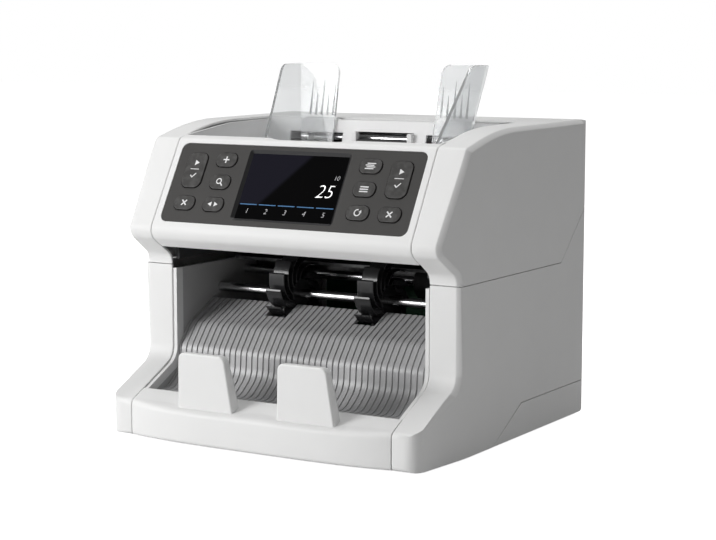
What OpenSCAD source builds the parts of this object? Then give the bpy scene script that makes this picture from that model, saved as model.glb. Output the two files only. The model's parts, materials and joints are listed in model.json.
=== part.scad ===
// Desktop banknote counter: a base unit with stacker pocket and an upper unit with hopper and keypad
// that opens about a rod at the rear. Millimetres. X runs to the right, Y to the rear, Z up.
// The modules work from the base front (Y) and the base underside (Z); placed() moves them to the
// frame with its origin under the middle of the object.

/* [Body] */
// Width over both side housings
body_w = 239; // [222:0.5:270]
// Depth from the base front to the rear wall
body_d = 228; // [220:0.5:260]
// Height of the top cover above the base underside
body_h = 200.5; // [194:0.5:225]
// Height of the rubber feet
foot_h = 3; // [2:0.5:8]
// Wall of the housings
wall = 2; // [1.5:0.1:2.4]
// Gap between neighbouring housings
seam = 0.5; // [0.3:0.05:0.8]
// Width of each side housing seen from the front
side_w = 22.2; // [20.5:0.1:25]
// Plan radius of the front corners of the base
front_r = 10; // [6:1:20]
// How far each side draws in at the base front
front_in = 5; // [2:0.1:7]
// Depth where the sides reach their full width
taper_y = 52; // [40:1:60]
// Plan radius where the sides reach their full width
taper_r = 150; // [60:5:200]
// Plan radius of the rear corners
rear_r = 8; // [4:1:12]
// Radius where the top meets the rear wall, and at the rear of the tray
back_r = 10; // [5:1:14]

/* [Front profile] */
// Height of the base front where the flare begins
base_h = 22.5; // [20:0.5:25]
// Height where the flare meets the post
flare_h = 45; // [40:0.5:50]
// Depth of the post face behind the base front
post_y = 45.5; // [44:0.5:48]
// Height of the parting line between base and upper unit
split_h = 106.5; // [102:0.5:112]
// Rise from the parting line to the start of the panel underside
under_rise = 5.5; // [4:0.5:8]
// Slope of the panel underside
under_tilt = 33.7; // [28:0.1:38]
// Depth of the top edge of the panel
panel_y = 55.5; // [54:0.5:58]
// Drop from the top cover to the top edge of the panel
panel_drop = 11; // [9:0.5:14]
// Lean of the panel from vertical
panel_tilt = 30; // [28:0.5:32]
// Radius of the nose under the panel
nose_r = 8; // [5:0.5:10]
// Distance from the rear wall to the foot of the slanted parting line
slant_d = 42; // [38:0.5:46]
// Angle of the slanted parting line
slant_a = 43.5; // [40:0.5:46]

/* [Base] */
// Height of the low rear corner of the tray
tray_h = 22; // [19:0.5:25]
// Where the tray corner starts to rise
tray_y = 88; // [80:1:100]
// Run of the rising tray edge
tray_run = 40; // [34:1:46]
// Depth of the bezel across the base front
bezel_d = 13; // [12:0.5:15]
// Bow of the bezel's middle in front of its ends
bow = 6.5; // [4:0.5:9]
// Height of the note stops
stop_h = 58; // [50:0.5:62]
// Middle of each note stop from the centre line
stop_x = 37.5; // [34:0.5:40]
// Width of a note stop at its top
stop_w = 35.2; // [26:0.2:38]
// Spread of a note stop from its top to its foot, on each side
stop_spread = 3.8; // [2:0.1:6]
// Thickness of a note stop at its top
stop_t = 6; // [4:0.5:7]
// Radius of a rubber foot
foot_r = 8; // [6:0.5:10]

/* [Panel] */
// Width of the shallow dip in the top edge of the panel
dip_w = 50; // [40:1:60]
// Depth of that dip
dip_d = 1.2; // [0.5:0.1:1.5]
// Distance of the key fascia from the parting planes
fascia_in = 5.2; // [4.5:0.1:10]
// Distance of the key fascia from the top edge of the panel
fascia_top = 3.5; // [3:0.1:5]
// Distance of the key fascia from the lower corner of the panel
fascia_end = 10.2; // [9.5:0.1:14]
// Thickness of the key fascia
fascia_t = 2; // [1.6:0.1:2.4]
// Depth of the fascia face below the panel face
fascia_sink = 0.3; // [0:0.1:0.6]
// Width of a pill key
key_w = 15.9; // [14:0.1:18]
// Gap between the key rows
row_gap = 6.1; // [4:0.1:7.5]
// Width of a tall key
tall_w = 15.3; // [13:0.1:16.5]
// Height of a key above the fascia
key_up = 0.8; // [0.5:0.1:1.4]
// Press travel of a key
key_travel = 0.8; // [0.5:0.1:1]
// Gap around a key in the fascia
key_gap = 0.5; // [0.25:0.05:0.6]
// Corner radius of the display window
window_r = 2.4; // [1:0.1:4]
// Edge of the fascia above the display window
window_edge = 2.7; // [2:0.1:4]

/* [Hopper] */
// Slope of the hopper floor down to the rear
floor_a = 12.7; // [11:0.1:14]
// Thickness of the hopper mouldings
tray_t = 2.2; // [1.8:0.1:2.6]
// Distance of the fold of each note guide from the hopper wall, at its foot
guide_off = 28.9; // [25:0.1:33]
// Lean of the guides to the rear
guide_lean = 13.2; // [11:0.1:15]
// Lean of the guides to the outside
guide_splay = 8.6; // [6:0.1:10]
// Height of the guides
guide_h = 56.8; // [50:0.1:64]
// Thickness of the guides
guide_t = 2; // [1.6:0.1:2.4]
// Radius of the rod that the guides slide on
guide_rod_r = 3; // [2.5:0.1:3.5]
// Travel of a guide to the inside
guide_in = 12; // [6:1:14]
// Travel of a guide to the outside
guide_out = 16; // [8:1:17]

/* [Transport] */
// Thickness of the side frames
frame_t = 2.5; // [2:0.1:3]
// Running clearance of a shaft in its bore
run = 0.05; // [0.02:0.01:0.08]
// Clearance of a fixed rod in its bore
snug = 0.02; // [0.01:0.01:0.04]
// Gap between parts that turn past each other
air = 0.4; // [0.3:0.05:0.6]
// Radius of the roller shafts
shaft_r = 3; // [2.5:0.1:3.5]
// Middle of the drive and pinch rollers from the centre line
drive_x = 54; // [50:0.5:58]
// Width of the drive and pinch rollers
drive_w = 16; // [12:0.5:18]
// Radius of the drive rollers
drive_r = 11; // [9.5:0.1:11.2]
// Middle of the transport rollers from the centre line
trans_x = 49; // [45:0.5:53]
// Width of the transport rollers
trans_w = 18; // [14:0.5:20]
// Radius of the transport rollers
trans_r = 22; // [20:0.1:22.4]
// Middle of the feed rollers from the centre line
feed_x = 17; // [15:0.5:18]
// Width of the feed rollers
feed_w = 14; // [10:0.5:15]
// Radius of the feed rollers
feed_r = 14; // [12.5:0.1:14.5]
// Middle of the pickup rollers from the centre line
pick_x = 37; // [35:0.5:41]
// Width of the pickup rollers
pick_w = 14; // [10:0.5:15]
// Radius of the pickup rollers
pick_r = 12; // [11:0.1:13]
// Radius of the pinch rollers
pinch_r = 8; // [7:0.1:8.6]
// Width of the retard roller
retard_w = 40; // [36:0.5:42]
// Radius of the retard roller
retard_r = 9; // [8:0.1:9.4]
// Middle of the stacker wheels from the centre line
wheel_x = 34; // [30:0.5:36]
// Radius of the stacker wheels
wheel_r = 26; // [23:0.1:26.5]
// Fins on a stacker wheel
wheel_fins = 14; // [10:1:16]
// Width of a stacker wheel
wheel_w = 12; // [9:0.5:13]
// Thickness of the belts
belt_t = 1.5; // [1.2:0.1:1.8]
// Radius of the hinge rod
hinge_r = 2; // [1.6:0.1:2.2]

/* [Electrics] */
// Width of the main board
board_w = 102; // [90:1:110]
// Height of the main board
board_h = 72; // [60:1:74]
// Width of the power supply
supply_w = 60; // [50:1:64]
// Depth of the power supply
supply_d = 70; // [60:1:76]
// Height of the power supply
supply_h = 34; // [28:1:36]
// Radius of the drive motor
motor_r = 19; // [16:0.5:20]
// Length of the drive motor
motor_len = 46; // [40:0.5:50]
// Radius of the feed motor
feed_motor_r = 14; // [12:0.5:15]
// Length of the feed motor
feed_motor_len = 40; // [34:0.5:42]

/* [Hidden] */
$fn = 64;

// Plane geometry in (Y, Z)
function unit(v) = v / norm(v);
function left_of(v) = [-v[1], v[0]];
function cross2(a, b) = a[0] * b[1] - a[1] * b[0];
function meet(p, u, q, v) = p + u * (cross2(q - p, v) / cross2(u, v));
function at(p, i) = p[(i + len(p)) % len(p)];
function shifted(a, b, c, d1, d2) =
  let (n1 = left_of(unit(b - a)), n2 = left_of(unit(c - b)), k = cross2(n1, n2))
  abs(k) < 0.001 ? b + n1 * d1 : b + [d1 * n2[1] - d2 * n1[1], n1[0] * d2 - n2[0] * d1] / k;
// A counter-clockwise outline with edge i moved inwards by d[i]
function inset(p, d) = [for (i = [0:len(p) - 1])
  shifted(at(p, i - 1), p[i], at(p, i + 1), at(d, i - 1), d[i])];
function inner_r(p, r, d) = [for (i = [0:len(p) - 1]) r[i] == 0 ? 0 :
  cross2(p[i] - at(p, i - 1), at(p, i + 1) - p[i]) > 0 ? max(r[i] - d, 0.4) : r[i] + d];
function arc(a, b, c, r, n) =
  let (u = unit(a - b), v = unit(c - b), h = acos(u * v) / 2, o = b + unit(u + v) * (r / sin(h)),
    p0 = b + u * (r / tan(h)) - o, p1 = b + v * (r / tan(h)) - o,
    a0 = atan2(p0[1], p0[0]), w = atan2(p1[1], p1[0]) - a0, s = w > 180 ? w - 360 : w < -180 ? w + 360 : w)
  [for (i = [0:n]) o + r * [cos(a0 + s * i / n), sin(a0 + s * i / n)]];
function rounded(p, r, n = 8) = [for (i = [0:len(p) - 1])
  each (r[i] < 0.01 ? [p[i]] : arc(at(p, i - 1), p[i], at(p, i + 1), r[i], n))];
function pad(w, h, r) =
  rounded([[-w / 2, -h / 2], [w / 2, -h / 2], [w / 2, h / 2], [-w / 2, h / 2]], [r, r, r, r]);

// Stations across the width
half = body_w / 2;
in_x = half - side_w;
mid_x = in_x - seam / 2;
uf_o = in_x - 0.8;
uf_i = uf_o - frame_t;
lf_o = in_x - seam;
lf_i = lf_o - frame_t;
ear_o = uf_i - 1;
ear_i = ear_o - frame_t;
hop_x = in_x - 0.3 - tray_t;

// Panel plane
pu = [sin(panel_tilt), cos(panel_tilt)];
panel_h = body_h - panel_drop;
top_edge = [panel_y, panel_h];
under_h = split_h + under_rise;
nose = meet([post_y, under_h], [-cos(under_tilt), sin(under_tilt)], top_edge, -pu);
fascia_x = in_x - fascia_in;
fascia_len = norm(top_edge - nose) - fascia_top - fascia_end;
row_pitch = fascia_len * 0.2812;
key_h = row_pitch - row_gap;
key_r = key_h * 0.46;
tall_h = row_pitch + key_h - 0.7;
col_out = fascia_x - 15.3;
col_in = col_out - 22.6;
window_x = col_in - key_w / 2 - 8.1;
window_top = fascia_top + window_edge;
window_len = fascia_len - 2 * window_edge - 1.1;
row_1 = fascia_top + fascia_len * 0.1975;
row_3 = row_1 + 2 * row_pitch;
tall_s = row_1 + row_pitch / 2 + 0.3;
fascia_low = fascia_sink + fascia_t;
key_low = fascia_low + 1.7;
board_z = fascia_low + 6.1;
board_t = 1.6;

// Hinge at the rear end of the slanted parting line
slant_y = body_d - slant_d;
hinge = [body_d - 5.5, split_h + (slant_d - 5.5) * tan(slant_a)];
slant_top = split_h + slant_d * tan(slant_a);
ear_r = 5.5 - wall - 0.1;

// Hopper
guide_x = hop_x - guide_off;
floor_0 = [panel_y + 7.5, panel_h - 1.5];
floor_u = [cos(floor_a), -sin(floor_a)];
floor_n = [sin(floor_a), cos(floor_a)];
function on_floor(y) = floor_0 + floor_u * ((y - floor_0[0]) / floor_u[0]);
guide_foot = [panel_y + 97.5, panel_h - 9.5];
back_gap = 0.8;
function back_y(z) = guide_foot[0] + back_gap + (z - guide_foot[1]) * tan(guide_lean);
hop_end = guide_foot[0] + 9;
rest_z = on_floor(guide_foot[0] - 1)[1] + 6;
guide_axis = [guide_foot[0] + 13, guide_foot[1] + 6];

// Shaft stations
wheel_c = [post_y + 50.5, split_h - 20.5];
drive_c = [wheel_c[0] + 31, split_h - 0.2 - drive_r];
pinch_c = [drive_c[0], split_h + 0.2 + pinch_r];
sensor_y = drive_c[0] + 12.3;
sensor_d = 12.7;
trans_c = [sensor_y + sensor_d + 22.5, split_h + 0.2 + trans_r];
feed_c = on_floor(guide_foot[0] - 3) - floor_n * (feed_r - 1.5);
pick_c = on_floor(guide_foot[0] - 45) - floor_n * (pick_r - 1.5);
retard_c = feed_c + (feed_r + 0.3 + retard_r) * [0.42, 0.9075];
motor_c = [wheel_c[0] + 62, split_h - 49.5];
feed_motor_c = [body_d - 23, body_h - 28.5];
drive_pulley_r = 9;
wheel_pulley_r = 18;
motor_pulley_r = 7;
trans_pulley_r = 10;
feed_pulley_r = 8;
pick_pulley_r = 7;
feed_motor_pulley_r = 6;
pulley_x = in_x + 0.9;
pulley_2x = pulley_x + 8.6;

// Outlines in (Y, Z)
lower_pts = [[0, 0], [tray_y, 0], [tray_y + tray_run, tray_h], [body_d, tray_h], [body_d, hinge[1] - 0.5],
  [hinge[0], hinge[1] - 0.5], [slant_y, split_h - seam / 2], [post_y, split_h - seam / 2],
  [post_y, flare_h], [0, base_h]];
lower_r = [3, 0, 0, 0, 1, 0, 0, 0, 12, 5];
lower_in = [-3, -3, -3, wall, -3, -3, -3, wall, wall, wall];
upper_pts = [[slant_y, split_h + seam / 2], [body_d, slant_top + seam / 2], [body_d, body_h],
  [panel_y + 39.5, body_h - 1], top_edge, nose, [post_y, under_h], [post_y, split_h + seam / 2]];
upper_r = [0, 0, back_r, 200, 4, nose_r, 9, 0];
upper_in = [-3, wall, wall, wall, wall, wall, wall, -3];
tray_pts = [[tray_y + seam, 0], [body_d, 0], [body_d, tray_h - seam],
  [tray_y + tray_run + seam, tray_h - seam]];
ramp_low = base_h + 3;
ramp_top = split_h - 27.3;
function ramp_z(k) = ramp_low + (ramp_top - ramp_low) * k;
ramp_pts = [[bezel_d, 12], [post_y + 42.5, 12], [post_y + 42.5, ramp_top], [post_y + 14.5, ramp_z(0.754)],
  [post_y + 3, ramp_z(0.4935)], [post_y + 2, ramp_z(0.1955)], [post_y - 11.5, ramp_low],
  [bezel_d + 7, ramp_low], [bezel_d, ramp_low + 2.7]];
ramp_r = [0, 0, 0, 14, 10, 14, 14, 5, 0];
plan_pts = [[-half + front_in, 0], [half - front_in, 0], [half, taper_y], [half, body_d], [-half, body_d],
  [-half, taper_y]];
plan_r = [front_r, front_r, taper_r, rear_r, rear_r, taper_r];
bow_n = 16;
function front_y(x) = -bow * (1 - pow(x / mid_x, 4));

// Solids
module placed() { translate([0, (bow - body_d) / 2, foot_h]) children(); }
module ex(x0, x1, p) { translate([x0, 0, 0]) rotate([90, 0, 90]) linear_extrude(x1 - x0) polygon(p); }
module ey(y0, y1, p) { translate([0, y1, 0]) rotate([90, 0, 0]) linear_extrude(y1 - y0) polygon(p); }
module box(x0, x1, y0, y1, z0, z1) { translate([x0, y0, z0]) cube([x1 - x0, y1 - y0, z1 - z0]); }
module rod(x0, x1, c, r) { translate([x0, c[0], c[1]]) rotate([0, 90, 0]) cylinder(h = x1 - x0, r = r); }
module rod_y(y0, y1, x, z, r) { translate([x, y1, z]) rotate([90, 0, 0]) cylinder(h = y1 - y0, r = r); }
module post(x, y, z0, z1, r) { translate([x, y, z0]) cylinder(h = z1 - z0, r = r); }
module both() { children(); mirror([1, 0, 0]) children(); }
module on_panel(x, s) {
  translate([x, top_edge[0] - s * pu[0], top_edge[1] - s * pu[1]]) rotate([90 - panel_tilt, 0, 0]) children();
}
module slab(z0, z1, p) { translate([0, 0, z0]) linear_extrude(z1 - z0) polygon(p); }
module plan(d) {
  translate([0, 0, -20]) linear_extrude(400)
    polygon(rounded(inset(plan_pts, [for (r = plan_r) d]), [for (r = plan_r) r - d]));
}
module shell(x0, x1, cut0, cut1, p, r, d) {
  difference() {
    intersection() { ex(x0, x1, rounded(p, r)); plan(0); }
    intersection() { ex(cut0, cut1, rounded(inset(p, d), inner_r(p, r, wall))); plan(wall); }
  }
}
module loop(x0, x1, cs, rs) {
  translate([x0, 0, 0]) rotate([90, 0, 90]) linear_extrude(x1 - x0) difference() {
    hull() for (i = [0:len(cs) - 1]) translate(cs[i]) circle(r = rs[i] + air + belt_t);
    hull() for (i = [0:len(cs) - 1]) translate(cs[i]) circle(r = rs[i] + air);
  }
}
module pulley(x0, c, r) {
  rod(x0, x0 + 8, c, r);
  rod(x0, x0 + 0.8, c, r + belt_t + 1);
  rod(x0 + 7.2, x0 + 8, c, r + belt_t + 1);
}
module roller_pair(x, w, c, r, bore) {
  both() difference() { rod(x - w / 2, x + w / 2, c, r); rod(x - w, x + w, c, bore); }
}

module bowed(x1, y1, d) {
  translate([0, 0, -20]) linear_extrude(200) polygon(concat([[x1, y1], [-x1, y1]],
    [for (i = [0:bow_n]) [x1 * (2 * i / bow_n - 1), front_y(x1 * (2 * i / bow_n - 1)) + d]]));
}

// Base unit
boss_low = [[post_y + 16, 62], [post_y + 64, 36], [body_d - 26, 62]];
boss_up = [[panel_y + 22, panel_h - 37.5], [panel_y + 72, split_h + 20], [body_d - 16, body_h - 9]];
screw_y = [40, 110, body_d - 38];
inlet_x = 30;
inlet_w = 50;
inlet_z = 30;
inlet_h = 26;
switch_c = [body_d - 6, inlet_z + inlet_h / 2];
pivot_r = 1.2;
port_list = [[-52, 14, 7], [-30, 16, 14], [-6, 20, 9]];
port_z = 42;
board_x = -27;
vent_z = hinge[1] - 43;

module base_tray() color([0.86, 0.86, 0.85]) placed() {
  difference() {
    union() {
      shell(-half, half, -half + wall, half - wall, tray_pts, [0, back_r, 0, 0], [wall, wall, -3, -3]);
      intersection() {
        box(-half + wall, half - wall, wall + 0.3, tray_y + seam + 4, 0, wall);
        plan(wall);
      }
      intersection() {
        box(-mid_x + wall + 0.5, mid_x - wall - 0.5, -bow - 1, wall + 2, 0, wall);
        bowed(mid_x - wall - 0.5, wall + 3, wall + 0.3);
      }
    }
    for (y = screw_y) both() {
      post(lf_i - 6.5, y, -1, wall + 1, 1.7);
      post(lf_i - 6.5, y, -1, wall - 0.6, 3.3);
    }
  }
}

module lower_housing() {
  shell(in_x, half, in_x - 1, half - wall, lower_pts, lower_r, lower_in);
  for (c = boss_low) rod(lf_o, half - wall + 0.5, c, 4);
}
module left_lower_housing() color([0.91, 0.91, 0.9]) placed() mirror([1, 0, 0]) lower_housing();
module right_lower_housing() color([0.91, 0.91, 0.9]) placed() lower_housing();

module stop() {
  foot_z = base_h - 4;
  foot_w = stop_w / 2 + stop_spread;
  y_0 = front_y(stop_x);
  intersection() {
    ey(y_0 - 1, bezel_d + 4, rounded([[stop_x - foot_w, foot_z], [stop_x + foot_w, foot_z],
      [stop_x + stop_w / 2, stop_h], [stop_x - stop_w / 2, stop_h]], [0, 0, 4, 4]));
    ex(0, in_x, [[y_0 + 4.8, foot_z], [y_0 + 8.5 + stop_t, foot_z], [y_0 + 0.2 + stop_t, stop_h],
      [y_0 + 0.2, stop_h]]);
  }
}
module base_bezel() color([0.91, 0.91, 0.9]) placed() {
  pts = [[-bow - 1, 0], [bezel_d, 0], [bezel_d, base_h + bezel_d * (flare_h - base_h) / post_y], [0, base_h],
    [-bow - 1, base_h]];
  difference() {
    union() {
      intersection() { ex(-mid_x, mid_x, rounded(pts, [0, 0, 0, 8, 0])); bowed(mid_x, bezel_d + 1, 0); }
      both() stop();
    }
    intersection() {
      ex(-mid_x + wall, mid_x - wall, rounded(inset(pts, [-3, wall, wall, wall, 0]), [0, 0, 0, 8, 0]));
      bowed(mid_x - wall, bezel_d + 1, wall);
    }
    ex(-mid_x - 1, mid_x + 1, [[wall + 0.3, -1], [bezel_d + 1, -1], [bezel_d + 1, wall], [wall + 0.3, wall]]);
  }
}

module rear_lower_cover() color([0.91, 0.91, 0.9]) placed() {
  difference() {
    union() {
      box(-mid_x, mid_x, body_d - wall, body_d, tray_h, hinge[1] - 0.5);
      for (x = [-72, 18]) for (z = [34, 94]) rod_y(body_d - 20, body_d - wall + 0.5, x, z, 3);
    }
    box(inlet_x, inlet_x + inlet_w, body_d - 9, body_d + 1, inlet_z, inlet_z + inlet_h);
    for (p = port_list)
      box(p[0] - 0.4, p[0] + p[1] + 0.4, body_d - 9, body_d + 1, port_z - 0.4, port_z + 0.4 + p[2]);
    for (i = [0:6]) both() box(22, 66, body_d - 9, body_d + 1, vent_z + i * 5, vent_z + 2 + i * 5);
  }
}

module wheel_room() { rod(wheel_x - wheel_w / 2 - 2, wheel_x + wheel_w / 2 + 2, wheel_c, wheel_r + 1); }
module stacker_ramp() color([0.6, 0.6, 0.6]) placed() {
  difference() {
    ex(-lf_i, lf_i, rounded(ramp_pts, ramp_r));
    ex(-lf_i - 1, lf_i + 1,
      rounded(inset(ramp_pts, [-3, -3, 2, 2, 2, 2, 2, 2, -3]), inner_r(ramp_pts, ramp_r, 2)));
    both() wheel_room();
  }
}

module lower_frame() {
  s = (flare_h - base_h) / post_y;
  y0 = bezel_d + 1;
  y1 = post_y + wall + 0.6;
  d = wall + 1.2;
  rim_y = post_y + 0.6;
  rim = [[y0, base_h + y0 * s - 1], [rim_y, base_h + rim_y * s - 1], [rim_y, split_h - 2.5],
    [y1 + 0.4, split_h - 2.5], [y1 + 0.4, base_h + y1 * s - d - 0.4], [y0, base_h + y0 * s - d - 0.4]];
  difference() {
    union() {
      ex(lf_i, lf_o, rounded(rim, [0, 13, 0, 0, 0, 0]));
      ex(lf_i, lf_o, [[y0, wall], [body_d - wall - back_r, wall], [body_d - wall, wall + back_r],
        [body_d - wall, split_h - 2.5], [y1, split_h - 2.5], [y1, base_h + y1 * s - d],
        [y0, base_h + y0 * s - d]]);
      ex(ear_i, ear_o, [[slant_y + 6, split_h - 24], [body_d - wall, split_h - 24],
        [body_d - wall, hinge[1] - 8], [hinge[0] + ear_r - 0.5, hinge[1] - 2], [hinge[0] - ear_r, hinge[1]],
        [slant_y + 6, split_h - 2.5]]);
      box(ear_o - 0.5, lf_i + 0.5, slant_y + 6, body_d - wall, split_h - 24, split_h - 4);
      rod(ear_i, ear_o, hinge, ear_r);
      for (y = screw_y) box(lf_i - 12, lf_i + 0.5, y - 8, y + 8, wall, wall + 4);
    }
    rod(ear_i - 1, ear_o + 1, hinge, hinge_r + snug);
    for (c = [wheel_c, drive_c]) rod(lf_i - 1, lf_o + 1, c, shaft_r + run);
    for (y = screw_y) post(lf_i - 6.5, y, wall - 1, wall + 5, 1.5);
  }
}
module lower_left_frame() color([0.2, 0.2, 0.21]) placed() mirror([1, 0, 0]) lower_frame();
module lower_right_frame() color([0.2, 0.2, 0.21]) placed() difference() {
  lower_frame();
  rod(lf_i - 1, lf_o + 1, motor_c, 4);
}

module lower_transport_guide() color([0.16, 0.16, 0.17]) placed() {
  z = split_h - 1.2;
  r = trans_r + 2.5;
  difference() {
    union() {
      box(-lf_i, lf_i, drive_c[0] - 13, trans_c[0], z - 2, z);
      intersection() {
        difference() { rod(-ear_i, ear_i, trans_c, r + 2); rod(-ear_i - 1, ear_i + 1, trans_c, r); }
        box(-ear_i, ear_i, trans_c[0], trans_c[0] + 60, z - 20, trans_c[1]);
      }
      box(-ear_i, ear_i, trans_c[0] + r, trans_c[0] + r + 2, trans_c[1] - 0.5, hinge[1] - hinge_r - 3);
      box(-ear_i, ear_i, trans_c[0] - 4, trans_c[0] + 2, trans_c[1] - r - 2, z);
    }
    both() rod(drive_x - drive_w / 2 - 1.5, drive_x + drive_w / 2 + 1.5, drive_c, drive_r + 0.8);
    both() wheel_room();
    box(-lf_i + 6, lf_i - 6, sensor_y - air, sensor_y + sensor_d + air, z - 5, z + 1);
  }
}

module lower_image_sensor() color([0.1, 0.1, 0.11]) placed() {
  box(-lf_i + 6.4, lf_i - 6.4, sensor_y, sensor_y + sensor_d, split_h - 14.5, split_h - 1.2);
  box(-lf_i, lf_i, sensor_y, sensor_y + sensor_d, split_h - 14.5, split_h - 6.5);
}

module drive_motor() color([0.55, 0.56, 0.58]) placed() difference() {
  union() {
    rod(lf_i - motor_len, lf_i, motor_c, motor_r);
    rod(lf_i - motor_len - 3, lf_i - motor_len + 1, motor_c, 6);
  }
  rod(lf_i - 5, lf_i + 1, motor_c, 2.5 + run);
}

module drive_belt() color([0.08, 0.08, 0.08]) placed()
  loop(pulley_x + 1.5, pulley_x + 6.5, [wheel_c, drive_c, motor_c],
    [wheel_pulley_r, drive_pulley_r, motor_pulley_r]);

module main_board() color([0.1, 0.35, 0.2]) placed() {
  z = port_z - 14;
  box(board_x - board_w / 2, board_x + board_w / 2, body_d - 21.6, body_d - 20, z, z + board_h);
  for (p = port_list) box(p[0], p[0] + p[1], body_d - 20.1, body_d - 0.4, port_z, port_z + p[2]);
  box(board_x - 13, board_x + 11, body_d - 24, body_d - 21.5, z + board_h / 2, z + board_h / 2 + 24);
}

module power_supply() color([0.62, 0.63, 0.64]) placed()
  box(-14 - supply_w, -14, body_d - 38 - supply_d, body_d - 38, wall, wall + supply_h);

module power_inlet() color([0.08, 0.08, 0.09]) placed() {
  difference() {
    box(inlet_x, inlet_x + inlet_w, body_d - 22, body_d, inlet_z, inlet_z + inlet_h);
    ey(body_d - 16, body_d + 1, [for (p = rounded([[-12, -8], [12, -8], [12, 4], [8, 8], [-8, 8], [-12, 4]],
      [1, 1, 1, 1, 1, 1], 4)) p + [inlet_x + 36, inlet_z + inlet_h / 2]]);
    box(inlet_x + 1.5, inlet_x + 17.5, body_d - 14, body_d + 1, inlet_z + 2, inlet_z + inlet_h - 2);
    rod(inlet_x - 1, inlet_x + 18.5, switch_c, pivot_r + run);
  }
  for (x = [-6.5, 0, 6.5])
    translate([inlet_x + 36 + x, 0, inlet_z + 13 + (x == 0 ? 3 : 0)])
      box(-1, 1, body_d - 17, body_d - 4, -2, 2);
}

module power_switch() color([0.12, 0.12, 0.13]) placed() {
  translate([0, switch_c[0], switch_c[1]]) rotate([-8, 0, 0])
    ex(inlet_x + 2.3, inlet_x + 16.7, [[-4, 0], [-1.5, -9.2], [4.2, -9.2], [3, 0], [4.2, 9.2], [-1.5, 9.2]]);
  rod(inlet_x + 0.6, inlet_x + 18.2, switch_c, pivot_r);
}

module hinge_rod() color([0.75, 0.76, 0.78]) placed() rod(-uf_o - 0.5, uf_o + 0.5, hinge, hinge_r);

module feet() color([0.07, 0.07, 0.07]) placed()
  both() for (y = [22, body_d - 22]) post(half - 26, y, -foot_h, 0, foot_r);

module base_screws() color([0.7, 0.71, 0.73]) placed() both() for (y = screw_y) {
  post(lf_i - 6.5, y, 0.1, wall - 0.6, 3);
  post(lf_i - 6.5, y, wall - 0.7, wall + 3.6, 1.5 - snug);
}

// Turning parts of the base unit
module motor_pulley() color([0.78, 0.79, 0.8]) placed() {
  rod(lf_i - 4.5, pulley_x + 8, motor_c, 2.5);
  pulley(pulley_x, motor_c, motor_pulley_r);
}
module drive_shaft() color([0.78, 0.79, 0.8]) placed() {
  rod(-lf_o - 0.6, pulley_x + 8, drive_c, shaft_r);
  pulley(pulley_x, drive_c, drive_pulley_r);
}
module drive_rollers() color([0.1, 0.1, 0.1]) placed()
  roller_pair(drive_x, drive_w, drive_c, drive_r, shaft_r);
module stacker_shaft() color([0.78, 0.79, 0.8]) placed() {
  rod(-lf_o - 0.6, pulley_x + 8, wheel_c, shaft_r);
  pulley(pulley_x, wheel_c, wheel_pulley_r);
}
function fin_point(t, a0, w) = let (r = 8 + (wheel_r - 8) * t, a = a0 - 62 * pow(t, 1.3) + w / r)
  r * [cos(a), sin(a)];
function fin(i) = let (k = [for (j = [0:6]) j / 6], a0 = i * 360 / wheel_fins)
  concat([for (t = k) fin_point(t, a0, -38)], [for (j = [6:-1:0]) fin_point(k[j], a0, 38)]);
module stacker_wheels() color([0.13, 0.13, 0.14]) placed() both() difference() {
  union() {
    rod(wheel_x - wheel_w / 2, wheel_x + wheel_w / 2, wheel_c, 10);
    translate([0, wheel_c[0], wheel_c[1]]) for (i = [0:wheel_fins - 1])
      ex(wheel_x - wheel_w / 2, wheel_x + wheel_w / 2, fin(i));
  }
  rod(wheel_x - wheel_w, wheel_x + wheel_w, wheel_c, shaft_r);
}

// Upper unit
module upper_housing() color([0.91, 0.91, 0.9]) placed() {
  difference() {
    shell(-half, half, -half + wall, half - wall, upper_pts, upper_r, upper_in);
    box(-in_x, in_x, -1, hop_end, split_h - 5, body_h + 5);
  }
  both() for (c = boss_up) rod(uf_o, half - wall + 0.5, c, 4);
}

module panel_bezel() color([0.93, 0.93, 0.92]) placed() {
  low = nose + [cos(under_tilt), -sin(under_tilt)] * 16.3;
  back = panel_y + 6.5;
  pts = [low, [back, low[1] + 16], [back, panel_h + 1.7], top_edge, nose];
  r = [0, 0, 0, 4, nose_r];
  difference() {
    union() {
      difference() {
        ex(-mid_x, mid_x, rounded(pts, r));
        ex(-mid_x - 1, mid_x + 1,
          rounded(inset(pts, [-3, -3, wall, wall, wall]), inner_r(pts, r, wall)));
      }
      on_panel(0, 0) slab(-fascia_low - 2.2, -1, [[-fascia_x - 3, -fascia_top - fascia_len - 2.5],
        [fascia_x + 3, -fascia_top - fascia_len - 2.5], [fascia_x + 3, -0.8], [-fascia_x - 3, -0.8]]);
      for (s = [fascia_top + 3, fascia_top + fascia_len - 3]) both() on_panel(fascia_x + 0.5, s)
        translate([0, 0, -board_z]) cylinder(h = board_z - fascia_low - 1, r = 2.2);
    }
    on_panel(0, -0) translate([0, -fascia_top - fascia_len / 2, 0]) {
      slab(-fascia_low, 5, pad(2 * fascia_x + 0.5, fascia_len + 0.5, 5.2));
      slab(-fascia_low - 5, 5, pad(2 * fascia_x - 5, fascia_len - 5, 4));
    }
    translate([0, 0, panel_h + 1.7]) ey(panel_y - 6, panel_y + 10, rounded([[-dip_w / 2 - 8, 1],
      [-dip_w / 2, -dip_d], [dip_w / 2, -dip_d], [dip_w / 2 + 8, 1]], [0, 30, 30, 0]));
  }
}

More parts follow.
